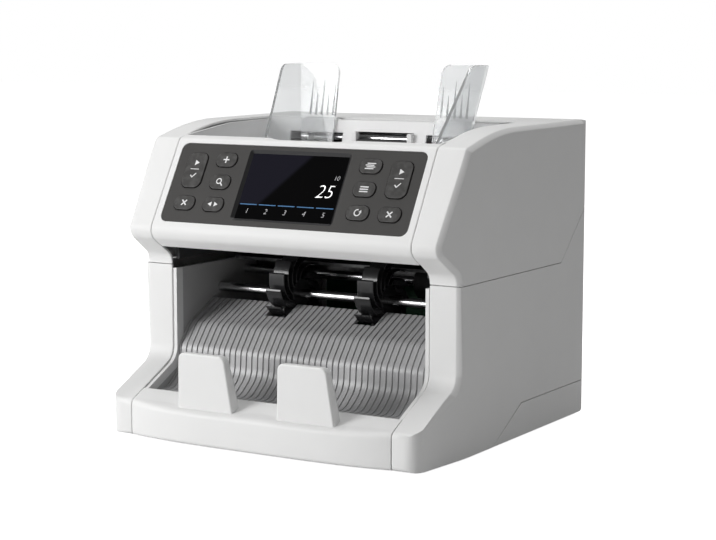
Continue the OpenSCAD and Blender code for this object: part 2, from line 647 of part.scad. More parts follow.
keys = [[-col_out, tall_s, 1], [-col_in, row_1, 0], [-col_in, row_1 + row_pitch, 0], [-col_out, row_3, 0],
  [-col_in, row_3, 0], [col_in, row_1, 0], [col_in, row_1 + row_pitch, 0], [col_in, row_3, 0],
  [col_out, tall_s, 1], [col_out, row_3, 0]];
function key_outline(k, d) = k[2] == 1 ? pad(tall_w + 2 * d, tall_h + 2 * d, 5 + d)
  : pad(key_w + 2 * d, key_h + 2 * d, key_r + d);

module key_fascia() color([0.24, 0.235, 0.23]) placed() difference() {
  on_panel(0, fascia_top + fascia_len / 2) slab(-fascia_low, -fascia_sink, pad(2 * fascia_x, fascia_len, 5));
  for (k = keys) on_panel(k[0], k[1]) slab(-fascia_low - 1, 1, key_outline(k, key_gap));
  on_panel(0, window_top + window_len / 2) slab(-fascia_low - 1, 1, pad(2 * window_x, window_len, window_r));
}

module display_window() color([0.03, 0.03, 0.035]) placed()
  on_panel(0, window_top + window_len / 2)
    slab(-fascia_low, -fascia_sink, pad(2 * window_x, window_len, window_r));

module control_board() color([0.1, 0.35, 0.2]) placed() {
  on_panel(0, fascia_top + fascia_len / 2)
    slab(-board_z - board_t, -board_z, pad(2 * fascia_x + 5, fascia_len - 0.6, 1));
  on_panel(0, window_top + window_len / 2)
    slab(-board_z - 0.1, -fascia_low, pad(2 * window_x + 2, window_len - 2, 1));
  for (k = keys) on_panel(k[0], k[1])
    translate([0, 0, -board_z - 0.1]) cylinder(h = board_z - key_low - key_travel - 0.2, r = 3);
}

module key_cap(i) {
  color([0.22, 0.215, 0.21]) placed() on_panel(keys[i][0], keys[i][1]) {
    slab(-key_low + 0.5, key_up - fascia_sink, key_outline(keys[i], 0));
    slab(-key_low, -key_low + 1, key_outline(keys[i], 1));
  }
}
module key_start_left() key_cap(0);
module key_add() key_cap(1);
module key_detect() key_cap(2);
module key_clear_left() key_cap(3);
module key_mode() key_cap(4);
module key_batch() key_cap(5);
module key_menu() key_cap(6);
module key_auto() key_cap(7);
module key_start_right() key_cap(8);
module key_clear_right() key_cap(9);

module hopper_tray() color([0.63, 0.63, 0.63]) placed() {
  ret = retard_w / 2 + 3;
  y_end = guide_foot[0] - 1;
  z_low = rest_z;
  top = [[floor_0[0] - 1, panel_h + 1], [panel_y + 36, body_h - 6.2], [panel_y + 56, body_h - 4],
    [hop_end - seam, body_h - 3.4]];
  back = [[back_y(z_low), z_low], [back_y(z_low) + 2, z_low], [back_y(body_h - 2) + 2, body_h - 1.8],
    [back_y(body_h - 2), body_h - 1.8]];
  y_0 = floor_0[0] - 1;
  floor_pts = [on_floor(y_0), on_floor(y_0) - floor_n * tray_t, on_floor(y_end) - floor_n * tray_t,
    on_floor(y_end)];
  side = concat([on_floor(y_0) - floor_n * tray_t, on_floor(y_end) - floor_n * tray_t,
    [back_y(z_low) + 3, z_low - 8]], [for (i = [3:-1:0]) top[i]]);
  difference() {
    union() {
      ex(-hop_x - 0.5, hop_x + 0.5, floor_pts);
      ex(-hop_x - 0.5, hop_x + 0.5,
        [floor_0 + [-1, -5], floor_0 + [1, -5], floor_0 + [1, 1.8], floor_0 + [-1, 1.8]]);
      both() ex(hop_x, in_x - 0.3, rounded(side, [0, 0, 0, 0, 60, 60, 0]));
      ex(-hop_x - 0.5, hop_x + 0.5, back);
    }
    box(-ret, ret, guide_foot[0] - 20, guide_foot[0] + 8, z_low - 1, guide_foot[1] + 11);
    both() box(guide_x - 21 - guide_in, guide_x - 5 + guide_out, guide_foot[0] - 5, guide_foot[0] + 12,
      guide_foot[1] + 2, guide_foot[1] + 10);
    both() rod(feed_x - feed_w / 2 - 1, feed_x + feed_w / 2 + 1, feed_c, feed_r + 0.8);
    both() rod(pick_x - pick_w / 2 - 1, pick_x + pick_w / 2 + 1, pick_c, pick_r + 0.8);
  }
  difference() {
    both() box(ret - 3, ret + 0.5, retard_c[0] - 5, back_y(guide_foot[1]) + 3, retard_c[1] - 5,
      guide_foot[1] + 10.5);
    rod(-ret - 5, ret + 5, retard_c, 2.5 + snug);
  }
}

module guide_rod() color([0.78, 0.79, 0.8]) placed() rod(-uf_o, uf_o, guide_axis, guide_rod_r);

module guide() {
  cs = 1 / cos(guide_splay);
  cl = 1 / cos(guide_lean);
  tl = tan(guide_lean);
  difference() {
    union() {
      translate([guide_x, guide_foot[0], guide_foot[1]]) {
        rotate([0, guide_splay, 0]) ex(-guide_t, 0, rounded([[-47.8, 0], [-0.2, 0],
          [guide_h * tl - 0.2, guide_h * cs], [guide_h * 0.67 - 47.8, guide_h * cs]], [3, 0, 0, 10]));
        rotate([-guide_lean, 0, 0]) ey(-guide_t, 0, rounded([[-27, 0], [-0.2, 0],
          [guide_h * tan(guide_splay) - 0.2, guide_h * cl], [-25.4, guide_h * cl]], [3, 0, 0, 7]));
      }
      box(guide_x - 20, guide_x - 6, guide_foot[0] - 0.5, guide_axis[0],
        guide_foot[1] + 3, guide_foot[1] + 9);
      rod(guide_x - 20, guide_x - 6, guide_axis, guide_rod_r + 2.5);
    }
    rod(guide_x - 30, guide_x + 10, guide_axis, guide_rod_r + run);
  }
}
module guide_right() color([0.85, 0.87, 0.88, 0.4]) placed() guide();
module guide_left() color([0.85, 0.87, 0.88, 0.4]) placed() mirror([1, 0, 0]) guide();

module upper_frame() {
  difference() {
    union() {
      ex(uf_i, uf_o, [[post_y + wall + 1.5, split_h + 3.5], [slant_y - 1.5, split_h + 3.5],
        [hinge[0] - 1, hinge[1] + 2.2],
        [body_d - wall - 1, slant_top + 2.5], [body_d - wall - 1, body_h - 14],
        [body_d - 14, body_h - wall - 2.5], [hop_end + 1.5, body_h - wall - 3.3],
        [back_y(rest_z) + 4.5, rest_z - 9.5], on_floor(guide_foot[0] - 1) - floor_n * (tray_t + 0.1),
        on_floor(panel_y + 10.5) - floor_n * (tray_t + 0.1), [panel_y - 13.5, panel_h - 51.5],
        [post_y + wall + 1.5, under_h + 4]]);
      rod(uf_i, uf_o, hinge, ear_r);
    }
    rod(uf_i - 1, uf_o + 1, hinge, hinge_r + run);
    rod(uf_i - 1, uf_o + 1, guide_axis, guide_rod_r + snug);
    for (c = [trans_c, feed_c, pick_c, pinch_c]) rod(uf_i - 1, uf_o + 1, c, shaft_r + run);
  }
}
module upper_left_frame() color([0.2, 0.2, 0.21]) placed() difference() {
  mirror([1, 0, 0]) upper_frame();
  rod(-uf_o - 1, -uf_i + 1, feed_motor_c, 4);
}
module upper_right_frame() color([0.2, 0.2, 0.21]) placed() upper_frame();

module upper_transport_guide() color([0.16, 0.16, 0.17]) placed() {
  z = split_h + 1.3;
  y = drive_c[0] - 11;
  front = [post_y + 1.5, under_h + 6];
  difference() {
    ex(-uf_i, uf_i, [[y, z], [sensor_y - air, z], [sensor_y - air, z + 2], [y + 1, z + 2], [y - 7, z + 9.2],
      front + [12, 2.8], front + [0, 2], front, front + [12, 0.8], [y - 8, z + 7.2]]);
    both() rod(drive_x - drive_w / 2 - 1.5, drive_x + drive_w / 2 + 1.5, pinch_c, pinch_r + 0.8);
  }
}

module upper_image_sensor() color([0.1, 0.1, 0.11]) placed()
  box(-uf_i, uf_i, sensor_y, sensor_y + sensor_d, split_h + 1.3, split_h + 15.5);

module feed_motor() color([0.55, 0.56, 0.58]) placed() difference() {
  union() {
    rod(-uf_i, -uf_i + feed_motor_len, feed_motor_c, feed_motor_r);
    rod(-uf_i + feed_motor_len - 1, -uf_i + feed_motor_len + 3, feed_motor_c, 5);
  }
  rod(-uf_i - 1, -uf_i + 5, feed_motor_c, 2.5 + run);
}

module upper_belt() color([0.08, 0.08, 0.08]) placed()
  loop(-pulley_x - 6.5, -pulley_x - 1.5, [feed_motor_c, trans_c, feed_c],
    [feed_motor_pulley_r, trans_pulley_r, feed_pulley_r]);
module pickup_belt() color([0.08, 0.08, 0.08]) placed()
  loop(-pulley_2x - 6.5, -pulley_2x - 1.5, [feed_c, pick_c], [feed_pulley_r, pick_pulley_r]);

module retard_roller() color([0.32, 0.3, 0.28]) placed() {
  rod(-retard_w / 2, retard_w / 2, retard_c, retard_r);
  rod(-retard_w / 2 - 2.9, retard_w / 2 + 2.9, retard_c, 2.5);
}

// Turning parts of the upper unit
module transport_shaft() color([0.78, 0.79, 0.8]) placed() {
  rod(-pulley_x - 8, uf_o + 0.6, trans_c, shaft_r);
  pulley(-pulley_x - 8, trans_c, trans_pulley_r);
}
module transport_rollers() color([0.1, 0.1, 0.1]) placed()
  roller_pair(trans_x, trans_w, trans_c, trans_r, shaft_r);
module feed_shaft() color([0.78, 0.79, 0.8]) placed() {
  rod(-pulley_2x - 8, uf_o + 0.6, feed_c, shaft_r);
  pulley(-pulley_x - 8, feed_c, feed_pulley_r);
  pulley(-pulley_2x - 8, feed_c, feed_pulley_r);
}
module feed_rollers() color([0.45, 0.16, 0.12]) placed()
  roller_pair(feed_x, feed_w, feed_c, feed_r, shaft_r);
module pickup_shaft() color([0.78, 0.79, 0.8]) placed() {
  rod(-pulley_2x - 8, uf_o + 0.6, pick_c, shaft_r);
  pulley(-pulley_2x - 8, pick_c, pick_pulley_r);
}
module pickup_rollers() color([0.45, 0.16, 0.12]) placed()
  roller_pair(pick_x, pick_w, pick_c, pick_r, shaft_r);
module pinch_rollers() color([0.3, 0.3, 0.31]) placed() {
  rod(-uf_o - 0.3, uf_o + 0.3, pinch_c, shaft_r);
  both() rod(drive_x - drive_w / 2, drive_x + drive_w / 2, pinch_c, pinch_r);
}
module feed_motor_pulley() color([0.78, 0.79, 0.8]) placed() {
  rod(-pulley_x - 8, -uf_i + 4.5, feed_motor_c, 2.5);
  pulley(-pulley_x - 8, feed_motor_c, feed_motor_pulley_r);
}

base_tray();
left_lower_housing();
right_lower_housing();
base_bezel();
rear_lower_cover();
stacker_ramp();
lower_left_frame();
lower_right_frame();
lower_transport_guide();
lower_image_sensor();
drive_motor();
drive_belt();
main_board();
power_supply();
power_inlet();
hinge_rod();
feet();
base_screws();
motor_pulley();
drive_shaft();
drive_rollers();
stacker_shaft();
stacker_wheels();
power_switch();
upper_housing();
panel_bezel();
key_fascia();
display_window();
control_board();
hopper_tray();
guide_rod();
upper_left_frame();
upper_right_frame();
upper_transport_guide();
upper_image_sensor();
feed_motor();
upper_belt();
pickup_belt();
retard_roller();
key_start_left();
key_add();
key_detect();
key_clear_left();
key_mode();
key_batch();
key_menu();
key_auto();
key_start_right();
key_clear_right();
guide_left();
guide_right();
transport_shaft();
transport_rollers();
feed_shaft();
feed_rollers();
pickup_shaft();
pickup_rollers();
pinch_rollers();
feed_motor_pulley();
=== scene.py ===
"""Looks of a desktop banknote counter with a hopper, a keypad panel and an open stacker pocket."""
from __future__ import annotations

import json
import logging
import math
from collections.abc import Callable, Iterator, Sequence
from contextlib import contextmanager
from dataclasses import dataclass
from enum import Enum

import bmesh
import bpy
from mathutils import Matrix, Vector

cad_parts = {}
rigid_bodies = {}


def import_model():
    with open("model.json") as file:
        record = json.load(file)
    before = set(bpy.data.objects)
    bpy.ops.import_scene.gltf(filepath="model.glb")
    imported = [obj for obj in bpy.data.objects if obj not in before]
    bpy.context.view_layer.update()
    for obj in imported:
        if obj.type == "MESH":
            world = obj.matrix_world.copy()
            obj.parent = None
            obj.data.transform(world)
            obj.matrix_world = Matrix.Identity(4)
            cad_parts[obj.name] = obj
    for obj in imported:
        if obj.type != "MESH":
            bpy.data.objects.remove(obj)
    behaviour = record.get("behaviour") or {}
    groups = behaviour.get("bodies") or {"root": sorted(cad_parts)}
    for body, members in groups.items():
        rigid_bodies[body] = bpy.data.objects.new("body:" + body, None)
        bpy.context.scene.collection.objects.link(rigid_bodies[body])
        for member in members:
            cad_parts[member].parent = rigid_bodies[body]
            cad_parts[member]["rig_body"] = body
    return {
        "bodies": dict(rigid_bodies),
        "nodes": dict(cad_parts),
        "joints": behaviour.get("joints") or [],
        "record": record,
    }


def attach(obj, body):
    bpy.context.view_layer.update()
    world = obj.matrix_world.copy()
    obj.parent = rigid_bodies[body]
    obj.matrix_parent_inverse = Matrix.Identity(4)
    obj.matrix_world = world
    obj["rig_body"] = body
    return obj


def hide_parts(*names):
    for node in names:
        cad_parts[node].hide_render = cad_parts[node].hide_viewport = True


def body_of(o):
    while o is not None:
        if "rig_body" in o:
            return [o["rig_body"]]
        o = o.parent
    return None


LOG = logging.getLogger("banknote_counter")
MM = 0.001
BASE_FRONT = 110.75  # mm from the frame's origin forwards to the front of the side housings
FOOT_HEIGHT = 3.0  # mm from the floor up to the base underside
CLOSE = 0.1  # mm within which two places count as one
WELD = 2e-6  # metres within which the points of a CAD mesh are merged
SAME_PLANE = 0.4  # degrees; faces that turn by less are one flat face
SQUARE = 50.0  # degrees; an edge that turns by more is nearly square
WIDE = 40.0  # degrees; the shading angle over broad roundings
NIL = 0.06  # a share of a normal that doesn't count
TILTED = 0.3  # the share of a normal from which a face looks up or down
ALONG = 0.98  # the share of a normal from which a face looks along an axis
X_AXIS = (1.0, 0.0, 0.0)
Y_AXIS = (0.0, 1.0, 0.0)
WHITE = (1.0, 1.0, 1.0, 1.0)
BLACK = (0.0, 0.0, 0.0, 1.0)
WORN = "worn"  # the face attribute that notes the roundings which handling wears

Piece = bpy.types.Object
Tree = bpy.types.NodeTree
Socket = bpy.types.NodeSocket
Triple = tuple[float, float, float]


def spot(x: float, y: float, z: float) -> Vector:
    """The point in metres that is x, y and z mm from the base's middle, front and underside."""
    return Vector((x, y - BASE_FRONT, z + FOOT_HEIGHT)) * MM


def in_mm(point: Vector) -> Vector:
    """The way back: a point in metres as mm from the base's middle, front and underside."""
    return Vector((point.x / MM, point.y / MM + BASE_FRONT, point.z / MM - FOOT_HEIGHT))


# Modelling tools


@dataclass(frozen=True)
class Edge:
    """What a rule may ask about an edge.

    Its middle in millimetres, its outward turn in degrees and the normals of its two faces: wall is
    the one that looks most to the side, and profile the other.
    """

    middle: Vector
    turn: float
    wall: Vector
    profile: Vector


EdgeRule = Callable[[Edge], bool]
FaceRule = Callable[[Vector, Vector], bool]


def select_only(obj: Piece) -> None:
    """Leaves this object as the only selected and active one.

    Args:
        obj: the object to work on.
    """
    bpy.ops.object.select_all(action="DESELECT")
    obj.select_set(True)
    bpy.context.view_layer.objects.active = obj


@contextmanager
def editing(obj: Piece) -> Iterator[None]:
    """Edit mode on the faces of one object, with nothing selected.

    Args:
        obj: the object to edit.
    """
    select_only(obj)
    bpy.ops.object.mode_set(mode="EDIT")
    bpy.ops.mesh.select_mode(type="FACE")
    bpy.ops.mesh.select_all(action="DESELECT")
    try:
        yield
    finally:
        bpy.ops.object.mode_set(mode="OBJECT")


def pick_faces(obj: Piece, rule: FaceRule) -> None:
    """Selects the faces that a rule accepts.

    Args:
        obj: the object in edit mode.
        rule: takes a face's middle in millimetres and its normal.
    """
    bpy.ops.mesh.select_mode(type="FACE")
    bpy.ops.mesh.select_all(action="DESELECT")
    mesh = bmesh.from_edit_mesh(obj.data)
    mesh.normal_update()
    for face in mesh.faces:
        if rule(in_mm(face.calc_center_median()), face.normal):
            face.select_set(True)
    bmesh.update_edit_mesh(obj.data)


def pick_edges(obj: Piece, rule: EdgeRule) -> int:
    """Selects the edges between two faces that a rule accepts.

    Args:
        obj: the object in edit mode.
        rule: takes an Edge.

    Returns:
        The number of edges selected.
    """
    bpy.ops.mesh.select_mode(type="EDGE")
    bpy.ops.mesh.select_all(action="DESELECT")
    mesh = bmesh.from_edit_mesh(obj.data)
    mesh.normal_update()
    count = 0
    for edge in mesh.edges:
        if len(edge.link_faces) != 2:
            continue
        middle = in_mm((edge.verts[0].co + edge.verts[1].co) / 2)
        turn = math.degrees(edge.calc_face_angle_signed(0.0))
        normals = sorted((face.normal for face in edge.link_faces), key=lambda n: -abs(n.x))
        if rule(Edge(middle, turn, *normals)):
            edge.select_set(True)
            count += 1
    bmesh.update_edit_mesh(obj.data)
    return count


def round_edges(obj: Piece, rule: EdgeRule, radius: float, segments: int = 2, clamp: bool = True,
                profile: float = 0.5) -> None:
    """Rounds the edges that a rule accepts, and notes the roundings as places that wear.

    Args:
        obj: the piece.
        rule: takes an Edge.
        radius: radius in millimetres.
        segments: faces across the rounding.
        clamp: stops the rounding where edges would cross.
        profile: 0.5 for a round edge, down to 0.25 for a flat chamfer.
    """
    with editing(obj):
        if not pick_edges(obj, rule):
            return
        bpy.ops.mesh.bevel(offset=radius * MM, segments=segments, profile=profile, affect="EDGES",
                           clamp_overlap=clamp, miter_outer="ARC")
        mesh = bmesh.from_edit_mesh(obj.data)
        worn = mesh.faces.layers.float.get(WORN) or mesh.faces.layers.float.new(WORN)
        for face in mesh.faces:
            if face.select:
                face[worn] = 1.0
        bmesh.update_edit_mesh(obj.data)


def sharp(turn: float = 40.0) -> EdgeRule:
    """A rule for every outward edge that turns by more than this many degrees."""
    return lambda edge: edge.turn > turn


def seam_lip(place: float) -> EdgeRule:
    """A rule for the outward edges of the parting faces this many millimetres from the middle."""
    return lambda edge: (edge.turn > SQUARE and abs(edge.wall.x) > ALONG
                         and abs(abs(edge.middle.x) - place) < CLOSE)


def cut(place: Vector, normal: Sequence[float]) -> None:
    """Cuts every face of the piece in edit mode along a plane."""
    bpy.ops.mesh.select_all(action="SELECT")
    bpy.ops.mesh.bisect(plane_co=place, plane_no=normal)


def fresh(add: Callable[..., object], **settings: object) -> Piece:
    """A new primitive to model from, with nothing else selected.

    Args:
        add: the operator that adds it.
        settings: the operator's own values.

    Returns:
        The new object.
    """
    bpy.ops.object.select_all(action="DESELECT")
    add(**settings)
    return bpy.context.object


def copy_of(node: str, name: str) -> Piece:
    """A new piece that starts from a CAD node's shape, merged and with its flat faces joined.

    Args:
        node: the CAD node.
        name: the new piece's name.

    Returns:
        The new object, at the origin.
    """
    mesh = Frame.nodes[node].data.copy()
    mesh.name = name
    mesh.materials.clear()
    obj = bpy.data.objects.new(name, mesh)
    bpy.context.scene.collection.objects.link(obj)
    with editing(obj):
        bpy.ops.mesh.customdata_custom_splitnormals_clear()
        bpy.ops.mesh.select_all(action="SELECT")
        bpy.ops.mesh.remove_doubles(threshold=WELD)
        bpy.ops.mesh.dissolve_limited(angle_limit=math.radians(SAME_PLANE))
    return obj


def apply_modifier(obj: Piece, kind: str, **settings: object) -> None:
    """Adds a modifier with these settings and applies it.

    Args:
        obj: the piece.
        kind: the modifier's type.
        settings: values for the modifier's own properties.
    """
    select_only(obj)
    modifier = obj.modifiers.new(kind.lower(), kind)
    for key, value in settings.items():
        setattr(modifier, key, value)
    bpy.ops.object.modifier_apply(modifier=modifier.name)


def polish(obj: Piece, angle: float = 35.0) -> None:
    """Smooth shading up to an angle, with normals that follow the large faces.

    Args:
        obj: the piece.
        angle: edges that turn by more stay sharp, in degrees.
    """
    select_only(obj)
    bpy.ops.object.shade_smooth_by_angle(angle=math.radians(angle))
    apply_modifier(obj, "WEIGHTED_NORMAL", keep_sharp=True)


def joined(parts: Sequence[Piece], name: str) -> Piece:
    """Several objects made into one, with its place in its mesh.

    Args:
        parts: the objects.
        name: the new piece's name.

    Returns:
        The joined object.
    """
    select_only(parts[0])
    for part in parts[1:]:
        part.select_set(True)
    if len(parts) > 1:
        bpy.ops.object.join()
    obj = bpy.context.view_layer.objects.active
    bpy.ops.object.transform_apply(location=True, rotation=True, scale=True)
    obj.name = name
    obj.data.name = name
    return obj


# Finishes


class Grain(Enum):
    """How a surface was made, which sets the direction of its grain."""

    ERODED = "spark-eroded mould"
    POLISHED = "polished mould"
    TURNED = "turned on a lathe, about X"
    ROLLED = "rolled sheet, along X"
    RUBBER = "ground rubber"


EVEN: Triple = (1.0, 1.0, 1.0)
STRETCH: dict[Grain, Triple] = {Grain.TURNED: (6.0, 0.05, 0.05), Grain.ROLLED: (0.04, 1.0, 1.0)}


@dataclass(frozen=True)
class Finish:
    """One finish: colour, gloss, grain (size and depth in millimetres), drift and wear."""

    name: str
    colour: Triple
    roughness: float
    grain: Grain = Grain.ERODED
    grain_size: float = 0.45
    grain_depth: float = 0.012
    drift: float = 0.03
    wear: float = 0.0
    metallic: float = 0.0
    ior: float = 1.5
    clear: float = 0.0
    glow: float = 0.0


FINISHES: dict[str, Finish] = {
    "housing_white": Finish("moulded_white", (0.80, 0.80, 0.795), 0.55, drift=0.012, wear=0.04),
    "fascia_grey": Finish("fascia_grey", (0.040, 0.0382, 0.0365), 0.50, grain_size=0.35,
                          drift=0.05, wear=0.05),
    "key_grey": Finish("key_grey", (0.035, 0.0335, 0.032), 0.48, grain_size=0.3,
                       drift=0.05, wear=0.04),
    "display_black": Finish("display_glass", (0.0012, 0.0012, 0.0014), 0.07, Grain.POLISHED,
                            1.4, 0.0004, ior=1.22),
    "frame_dark": Finish("frame_dark", (0.050, 0.050, 0.052), 0.45, drift=0.05, wear=0.06),
    "pocket_grey": Finish("pocket_grey", (0.46, 0.46, 0.463), 0.45, wear=0.08),
    # the sunk screen's sloping rim: set far darker than the fascia's colour, which paints the
    # recess's shade into it
    "screen_rim": Finish("screen_rim", (0.010, 0.010, 0.011), 0.45),
    "ramp_grey": Finish("ramp_grey", (0.44, 0.44, 0.445), 0.36, wear=0.06),
    "hopper_grey": Finish("hopper_grey", (0.74, 0.74, 0.74), 0.42, wear=0.06),
    "guide_clear": Finish("clear_acrylic", (0.82, 0.83, 0.835), 0.04, Grain.POLISHED,
                          6.0, 0.01, ior=1.28, clear=0.86),
    "guide_rib": Finish("clear_rib", (0.52, 0.53, 0.535), 0.10, Grain.POLISHED,
                        6.0, 0.01, ior=1.28, clear=0.55),
    "shaft_steel": Finish("turned_steel", (0.62, 0.62, 0.63), 0.26, Grain.TURNED,
                          0.6, 0.004, 0.05, metallic=1.0),
    "roller_black": Finish("roller_rubber", (0.022, 0.022, 0.023), 0.62, Grain.RUBBER,
                           0.5, 0.03, 0.1, 0.06),
    "roller_red": Finish("feed_rubber", (0.30, 0.060, 0.040), 0.60, Grain.RUBBER,
                         0.5, 0.03, 0.1, 0.06),
    "wheel_black": Finish("wheel_black", (0.018, 0.018, 0.019), 0.24, drift=0.06, wear=0.04),
    "motor_metal": Finish("motor_can", (0.46, 0.47, 0.49), 0.34, Grain.TURNED,
                          0.8, 0.006, 0.08, metallic=1.0),
    "case_metal": Finish("sheet_case", (0.55, 0.56, 0.57), 0.38, Grain.ROLLED,
                         0.5, 0.006, 0.06, metallic=1.0),
    "board_green": Finish("circuit_board", (0.020, 0.105, 0.045), 0.35, Grain.POLISHED,
                          2.5, 0.03, 0.35),
    "socket_black": Finish("socket_black", (0.020, 0.020, 0.021), 0.40, drift=0.06, wear=0.06),
    "foot_rubber": Finish("foot_rubber", (0.025, 0.025, 0.025), 0.70, Grain.RUBBER,
                          0.6, 0.04, 0.1, 0.05),
    "print_white": Finish("print_white", (0.78, 0.78, 0.78), 0.5),
    "screen_white": Finish("screen_white", (0.85, 0.85, 0.85), 0.4, Grain.POLISHED,
                           drift=0.0, glow=0.9),
    "screen_grey": Finish("screen_grey", (0.45, 0.45, 0.46), 0.4, Grain.POLISHED,
                          drift=0.0, glow=0.7),
    "screen_blue": Finish("screen_blue", (0.045, 0.13, 0.26), 0.4, Grain.POLISHED,
                          drift=0.0, glow=0.45),
    "stage_white": Finish("stage_white", (0.70, 0.70, 0.70), 0.9, grain_depth=0.0, drift=0.0),
}


def feed(node: bpy.types.Node, inputs: dict[str | int, object]) -> None:
    """Fills the inputs of a node.

    Args:
        node: the node.
        inputs: a value or another node's output for each input, by its name or number.
    """
    for key, value in inputs.items():
        if isinstance(value, Socket):
            node.id_data.links.new(value, node.inputs[key])
        else:
            node.inputs[key].default_value = value


def add_node(tree: Tree, kind: str, inputs: dict[str | int, object] | None = None,
             **settings: object) -> bpy.types.Node:
    """Adds a shader node.

    Args:
        tree: the node tree.
        kind: the node's type, without its first word.
        inputs: what feeds its inputs.
        settings: values for its other properties.

    Returns:
        The node.
    """
    node = tree.nodes.new(f"ShaderNode{kind}")
    for key, value in settings.items():
        setattr(node, key, value)
    feed(node, inputs or {})
    return node


def calc(tree: Tree, operation: str, *inputs: object, **settings: object) -> Socket:
    """The output of a new Math node that works on these numbers and outputs."""
    node = add_node(tree, "Math", dict(enumerate(inputs)), operation=operation, **settings)
    return node.outputs["Value"]


class Paintbox:
    """Builds the shared effect groups once and a procedural material for each finish."""

    FLOAT, COLOUR, VECTOR = "NodeSocketFloat", "NodeSocketColor", "NodeSocketVector"
    WORN_COLOUR = (0.75, 0.75, 0.74, 1.0)
    WORN_ROUGH = 0.12
    DRIFT_SPAN = 4.0

    def __init__(self) -> None:
        """Makes the three effect groups."""
        self.made: dict[str, bpy.types.Material] = {}
        self.grain = self._grain_group()
        self.wear = self._wear_group()
        self.tone = self._tone_group()

    @staticmethod
    def _group(name: str, takes: dict[str, str],
               gives: dict[str, str]) -> tuple[Tree, bpy.types.NodeOutputs, bpy.types.Node]:
        """A new shader node group with named sockets.

        Args:
            name: the group's name.
            takes: input names and socket types.
            gives: output names and socket types.

        Returns:
            The group's node tree, what comes in, and the node that takes what goes out.
        """
        tree = bpy.data.node_groups.new(name, "ShaderNodeTree")
        for way, sockets in (("INPUT", takes), ("OUTPUT", gives)):
            for label, kind in sockets.items():
                tree.interface.new_socket(label, in_out=way, socket_type=kind)
        return tree, tree.nodes.new("NodeGroupInput").outputs, tree.nodes.new("NodeGroupOutput")

    def _grain_group(self) -> Tree:
        """Surface grain: a fine height and a broad drift, both from Object coordinates.

        Returns:
            The group.
        """
        tree, takes, gives = self._group(
            "surface_grain", {"Scale": self.FLOAT, "Stretch": self.VECTOR},
            {"Height": self.FLOAT, "Drift": self.FLOAT})
        place = add_node(tree, "TexCoord").outputs["Object"]
        stretched = add_node(tree, "VectorMath", {0: place, 1: takes["Stretch"]},
                             operation="MULTIPLY").outputs["Vector"]
        fine = add_node(tree, "TexNoise", {"Vector": stretched, "Scale": takes["Scale"],
                                           "Detail": 3.0, "Roughness": 0.65})
        broad = add_node(tree, "TexNoise", {"Vector": place, "Scale": 38.0, "Detail": 4.0})
        feed(gives, {"Height": fine.outputs["Fac"], "Drift": broad.outputs["Fac"]})
        return tree

    def _wear_group(self) -> Tree:
        """Handling wear: a broken mask on the roundings, which the pieces note in an attribute.

        Returns:
            The group.
        """
        tree, takes, gives = self._group("edge_wear", {"Amount": self.FLOAT}, {"Mask": self.FLOAT})
        edge = add_node(tree, "Attribute", attribute_name=WORN).outputs["Fac"]
        place = add_node(tree, "TexCoord").outputs["Object"]
        rubbed = add_node(tree, "TexNoise", {"Vector": place, "Scale": 260.0, "Detail": 5.0})
        broken = add_node(tree, "MapRange", {"Value": rubbed.outputs["Fac"],
                                             "From Min": 0.42, "From Max": 0.68})
        both = calc(tree, "MULTIPLY", edge, broken.outputs["Result"])
        feed(gives, {"Mask": calc(tree, "MULTIPLY", both, takes["Amount"])})
        return tree

    def _tone_group(self) -> Tree:
        """Colour and roughness that drift over the surface and change where it is worn.

        Returns:
            The group.
        """
        tree, takes, gives = self._group(
            "worn_tone",
            {"Colour": self.COLOUR, "Rough": self.FLOAT, "Drift": self.FLOAT, "Spread": self.FLOAT,
             "Mask": self.FLOAT},
            {"Colour": self.COLOUR, "Rough": self.FLOAT})
        centred = calc(tree, "SUBTRACT", takes["Drift"], 0.5)
        spread = calc(tree, "MULTIPLY_ADD", centred, takes["Spread"], 1.0)
        tint = add_node(tree, "HueSaturation", {"Color": takes["Colour"], "Value": spread})
        worn = add_node(tree, "Mix", {"Factor": takes["Mask"], "A": tint.outputs["Color"],
                                      "B": self.WORN_COLOUR}, data_type="RGBA")
        rough = calc(tree, "MULTIPLY", takes["Rough"], spread)
        rubbed = calc(tree, "MULTIPLY_ADD", takes["Mask"], self.WORN_ROUGH, rough, use_clamp=True)
        feed(gives, {"Colour": worn.outputs["Result"], "Rough": rubbed})
        return tree

    def material(self, key: str) -> bpy.types.Material:
        """The material of a finish, built on first use.

        Args:
            key: a name in FINISHES.

        Returns:
            The material.
        """
        if key in self.made:
            return self.made[key]
        finish = FINISHES[key]
        made = bpy.data.materials.new(finish.name)
        made.use_nodes = True
        tree = made.node_tree
        shader = tree.nodes["Principled BSDF"]
        grain = add_node(tree, "Group", node_tree=self.grain, inputs={
            "Scale": 1.0 / (finish.grain_size * MM), "Stretch": STRETCH.get(finish.grain, EVEN)})
        wear = add_node(tree, "Group", node_tree=self.wear, inputs={"Amount": finish.wear})
        tone = add_node(tree, "Group", node_tree=self.tone, inputs={
            "Colour": (*finish.colour, 1.0), "Rough": finish.roughness,
            "Drift": grain.outputs["Drift"], "Spread": finish.drift * self.DRIFT_SPAN,
            "Mask": wear.outputs["Mask"]})
        feed(shader, {"Base Color": tone.outputs["Colour"], "Roughness": tone.outputs["Rough"],
                      "Metallic": finish.metallic, "IOR": finish.ior,
                      "Transmission Weight": finish.clear})
        if finish.grain_depth > 0.0:
            bump = add_node(tree, "Bump", {"Strength": 1.0, "Distance": finish.grain_depth * MM,
                                           "Height": grain.outputs["Height"]})
            feed(shader, {"Normal": bump.outputs["Normal"]})
        if finish.glow > 0.0:
            feed(shader, {"Emission Color": tone.outputs["Colour"],
                          "Emission Strength": finish.glow})
        self.made[key] = made
        return made


